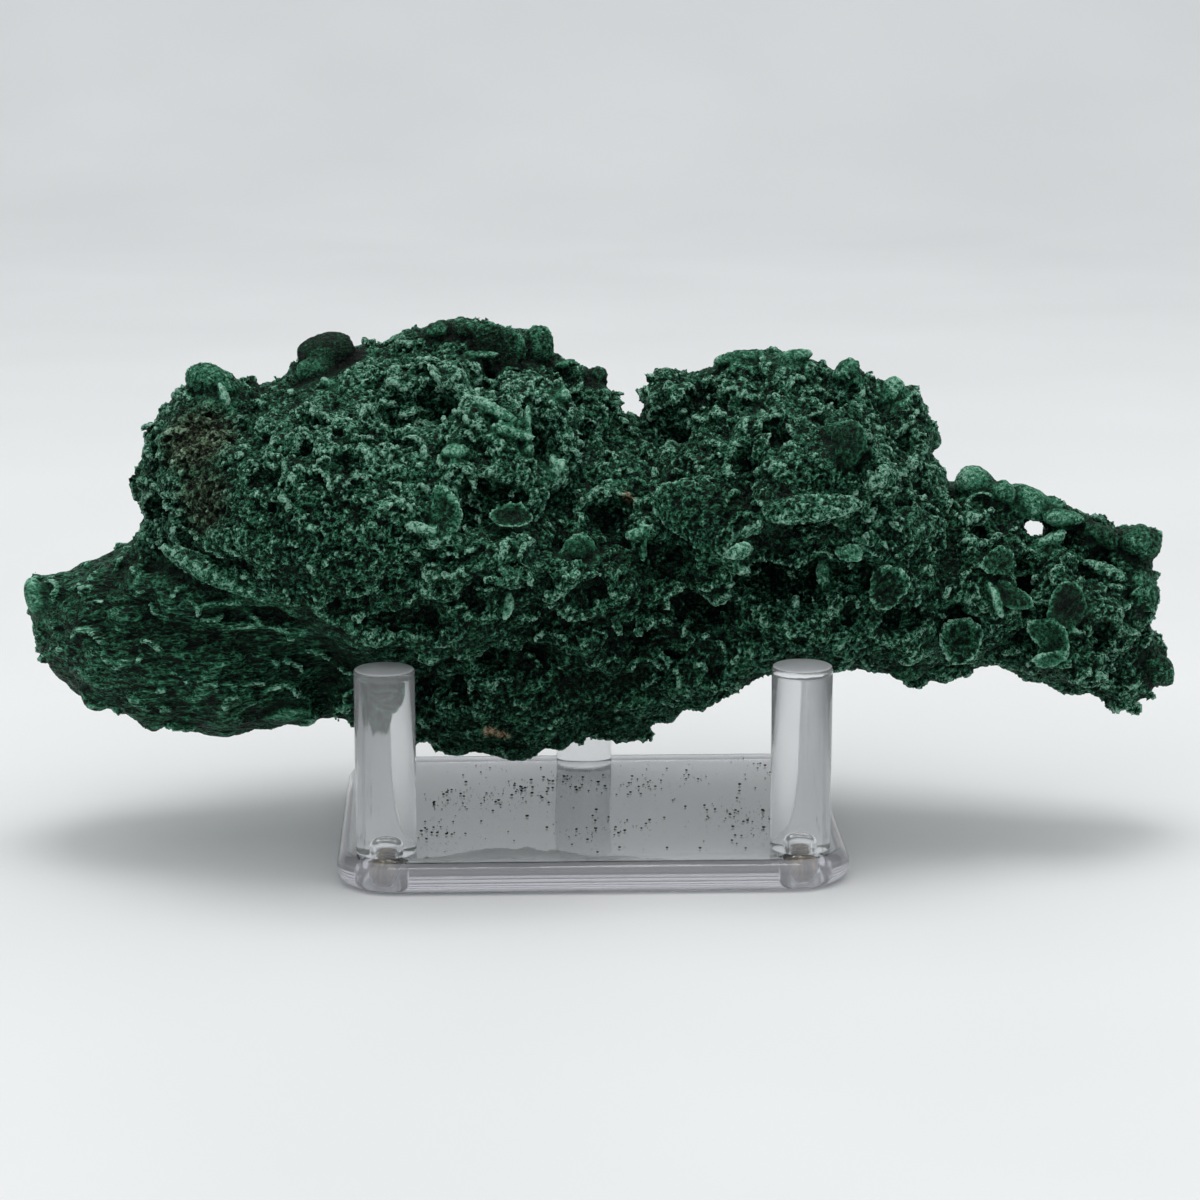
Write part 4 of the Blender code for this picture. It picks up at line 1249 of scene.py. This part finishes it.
def crumbs_tree():
    tree = new_geometry_tree("Crumbs", {
        "Crumb shapes": ("NodeSocketCollection", None),
        "Crumbs per area": ("NodeSocketFloat", 7e5),
        "Smallest": ("NodeSocketFloat", 0.08 * MM),
        "Largest": ("NodeSocketFloat", 0.42 * MM),
    })
    given = add_node(tree, "NodeGroupInput").outputs
    density = math_node(tree, "MULTIPLY", named(tree, "dust"), given["Crumbs per area"])
    points = add_node(tree, "GeometryNodeDistributePointsOnFaces", {
        "Mesh": given["Geometry"], "Density": density, "Seed": CRUMB_SEED})
    chance = add_node(tree, "FunctionNodeRandomValue", {2: 0.0, 3: 1.0, "Seed": CRUMB_SEED},
                      data_type="FLOAT")
    size = add_node(tree, "ShaderNodeMapRange", {
        "Value": math_node(tree, "POWER", chance.outputs[1], 3.0),
        "To Min": given["Smallest"], "To Max": given["Largest"]})
    turn = add_node(tree, "FunctionNodeRandomValue", {
        0: (0, 0, 0), 1: (0, 0, 2 * math.pi), "Seed": CRUMB_SEED + 1}, data_type="FLOAT_VECTOR")
    shapes = add_node(tree, "GeometryNodeCollectionInfo", {
        "Collection": given["Crumb shapes"], "Separate Children": True, "Reset Children": True})
    strewn = add_node(tree, "GeometryNodeInstanceOnPoints", {
        "Points": points.outputs["Points"], "Instance": shapes.outputs[0], "Pick Instance": True,
        "Rotation": turn.outputs[0], "Scale": size.outputs["Result"]})
    finish_tree(tree, strewn.outputs[0])
    return tree


crumb_shapes = bpy.data.collections.new("crumb_shapes")
for index in range(4):
    name = f"crumb_shape_{index}"
    crumb_shapes.objects.link(bpy.data.objects.new(name, crumb_mesh(name, index)))
crumbs = new_object("plate_crumbs", dusty_ground())
add_tree(crumbs, crumbs_tree(), Crumb_shapes=crumb_shapes, Finish=stone_finish)
applied(crumbs)
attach(crumbs, "root")
print("crumbs", count_triangles(crumbs), "triangles")

# %% [markdown]
# ## The studio
#
# The photograph was taken on a white sweep: paper that runs on from the table up the wall, so
# that no horizon shows. One wide light hangs above it, and the pale surroundings fill the rest.

# %% Sweep
SWEEP_FRONT = -2.2
SWEEP_BACK = 1.1
SWEEP_RADIUS = 0.7
SWEEP_TOP = 2.6
SWEEP_HALF_WIDTH = 3.0
# The plate rests on a film of air, or else its underside and the paper would be one face
FLOOR_HEIGHT = -0.1 * MM


def sweep_mesh():
    bm = bmesh.new()
    line = [(SWEEP_FRONT, 0.0)] + [
        (SWEEP_BACK + SWEEP_RADIUS * math.sin(math.radians(angle)),
         SWEEP_RADIUS * (1 - math.cos(math.radians(angle)))) for angle in range(0, 91, 5)]
    line.append((SWEEP_BACK + SWEEP_RADIUS, SWEEP_TOP))
    line = [(y, z + FLOOR_HEIGHT) for y, z in line]
    left, right = [[bm.verts.new((side * SWEEP_HALF_WIDTH, y, z)) for y, z in line]
                   for side in (-1, 1)]
    for i in range(len(line) - 1):
        bm.faces.new((left[i], right[i], right[i + 1], left[i + 1]))
    mesh = mesh_from_bmesh("paper_sweep", bm)
    mesh.shade_smooth()
    return mesh


def paper_material():
    material, tree = new_material("matt white paper")
    place = add_node(tree, "ShaderNodeTexCoord").outputs["Object"]
    cloudy = add_node(tree, "ShaderNodeTexNoise", {
        "Vector": place, "Scale": 6.0, "Detail": 2.0}).outputs["Fac"]
    colour = tone_ramp(tree, cloudy, ((0.3, "#e8e9e9"), (0.7, "#eeefef")))
    shader = add_node(tree, "ShaderNodeBsdfPrincipled", {"Base Color": colour, "Roughness": 0.55})
    add_node(tree, "ShaderNodeOutputMaterial", {"Surface": shader.outputs[0]})
    return material


sweep = new_object("paper_sweep", sweep_mesh(), paper_material())

# %% Lights
SOFTBOX_PLACE = (0.0, 0.05, 1.1)
SOFTBOX_SIZE = 0.55
SOFTBOX_POWER = 4.2
# Brightness of the surroundings by height, from straight down to straight up
SURROUNDINGS = ((0.0, "#8f9294"), (0.5, "#9b9fa2"), (0.72, "#e2e6ea"), (1.0, "#ffffff"))
SURROUNDINGS_STRENGTH = 0.95

softbox_data = bpy.data.lights.new("softbox", "AREA")
softbox_data.shape = "SQUARE"
softbox_data.size = SOFTBOX_SIZE
softbox_data.energy = SOFTBOX_POWER
softbox = bpy.data.objects.new("softbox", softbox_data)
softbox.location = SOFTBOX_PLACE
bpy.context.scene.collection.objects.link(softbox)

world = bpy.data.worlds.new("pale surroundings")
bpy.context.scene.world = world
world.use_nodes = True
sky = world.node_tree
sky_height = add_node(sky, "ShaderNodeSeparateXYZ", {
    "Vector": add_node(sky, "ShaderNodeTexCoord").outputs["Generated"]}).outputs["Z"]
sky_colour = tone_ramp(sky, math_node(sky, "MULTIPLY_ADD", sky_height, 0.5, 0.5), SURROUNDINGS)
sky.links.new(sky_colour, sky.nodes["Background"].inputs["Color"])
sky.nodes["Background"].inputs["Strength"].default_value = SURROUNDINGS_STRENGTH
bpy.context.scene.view_settings.view_transform = "Standard"
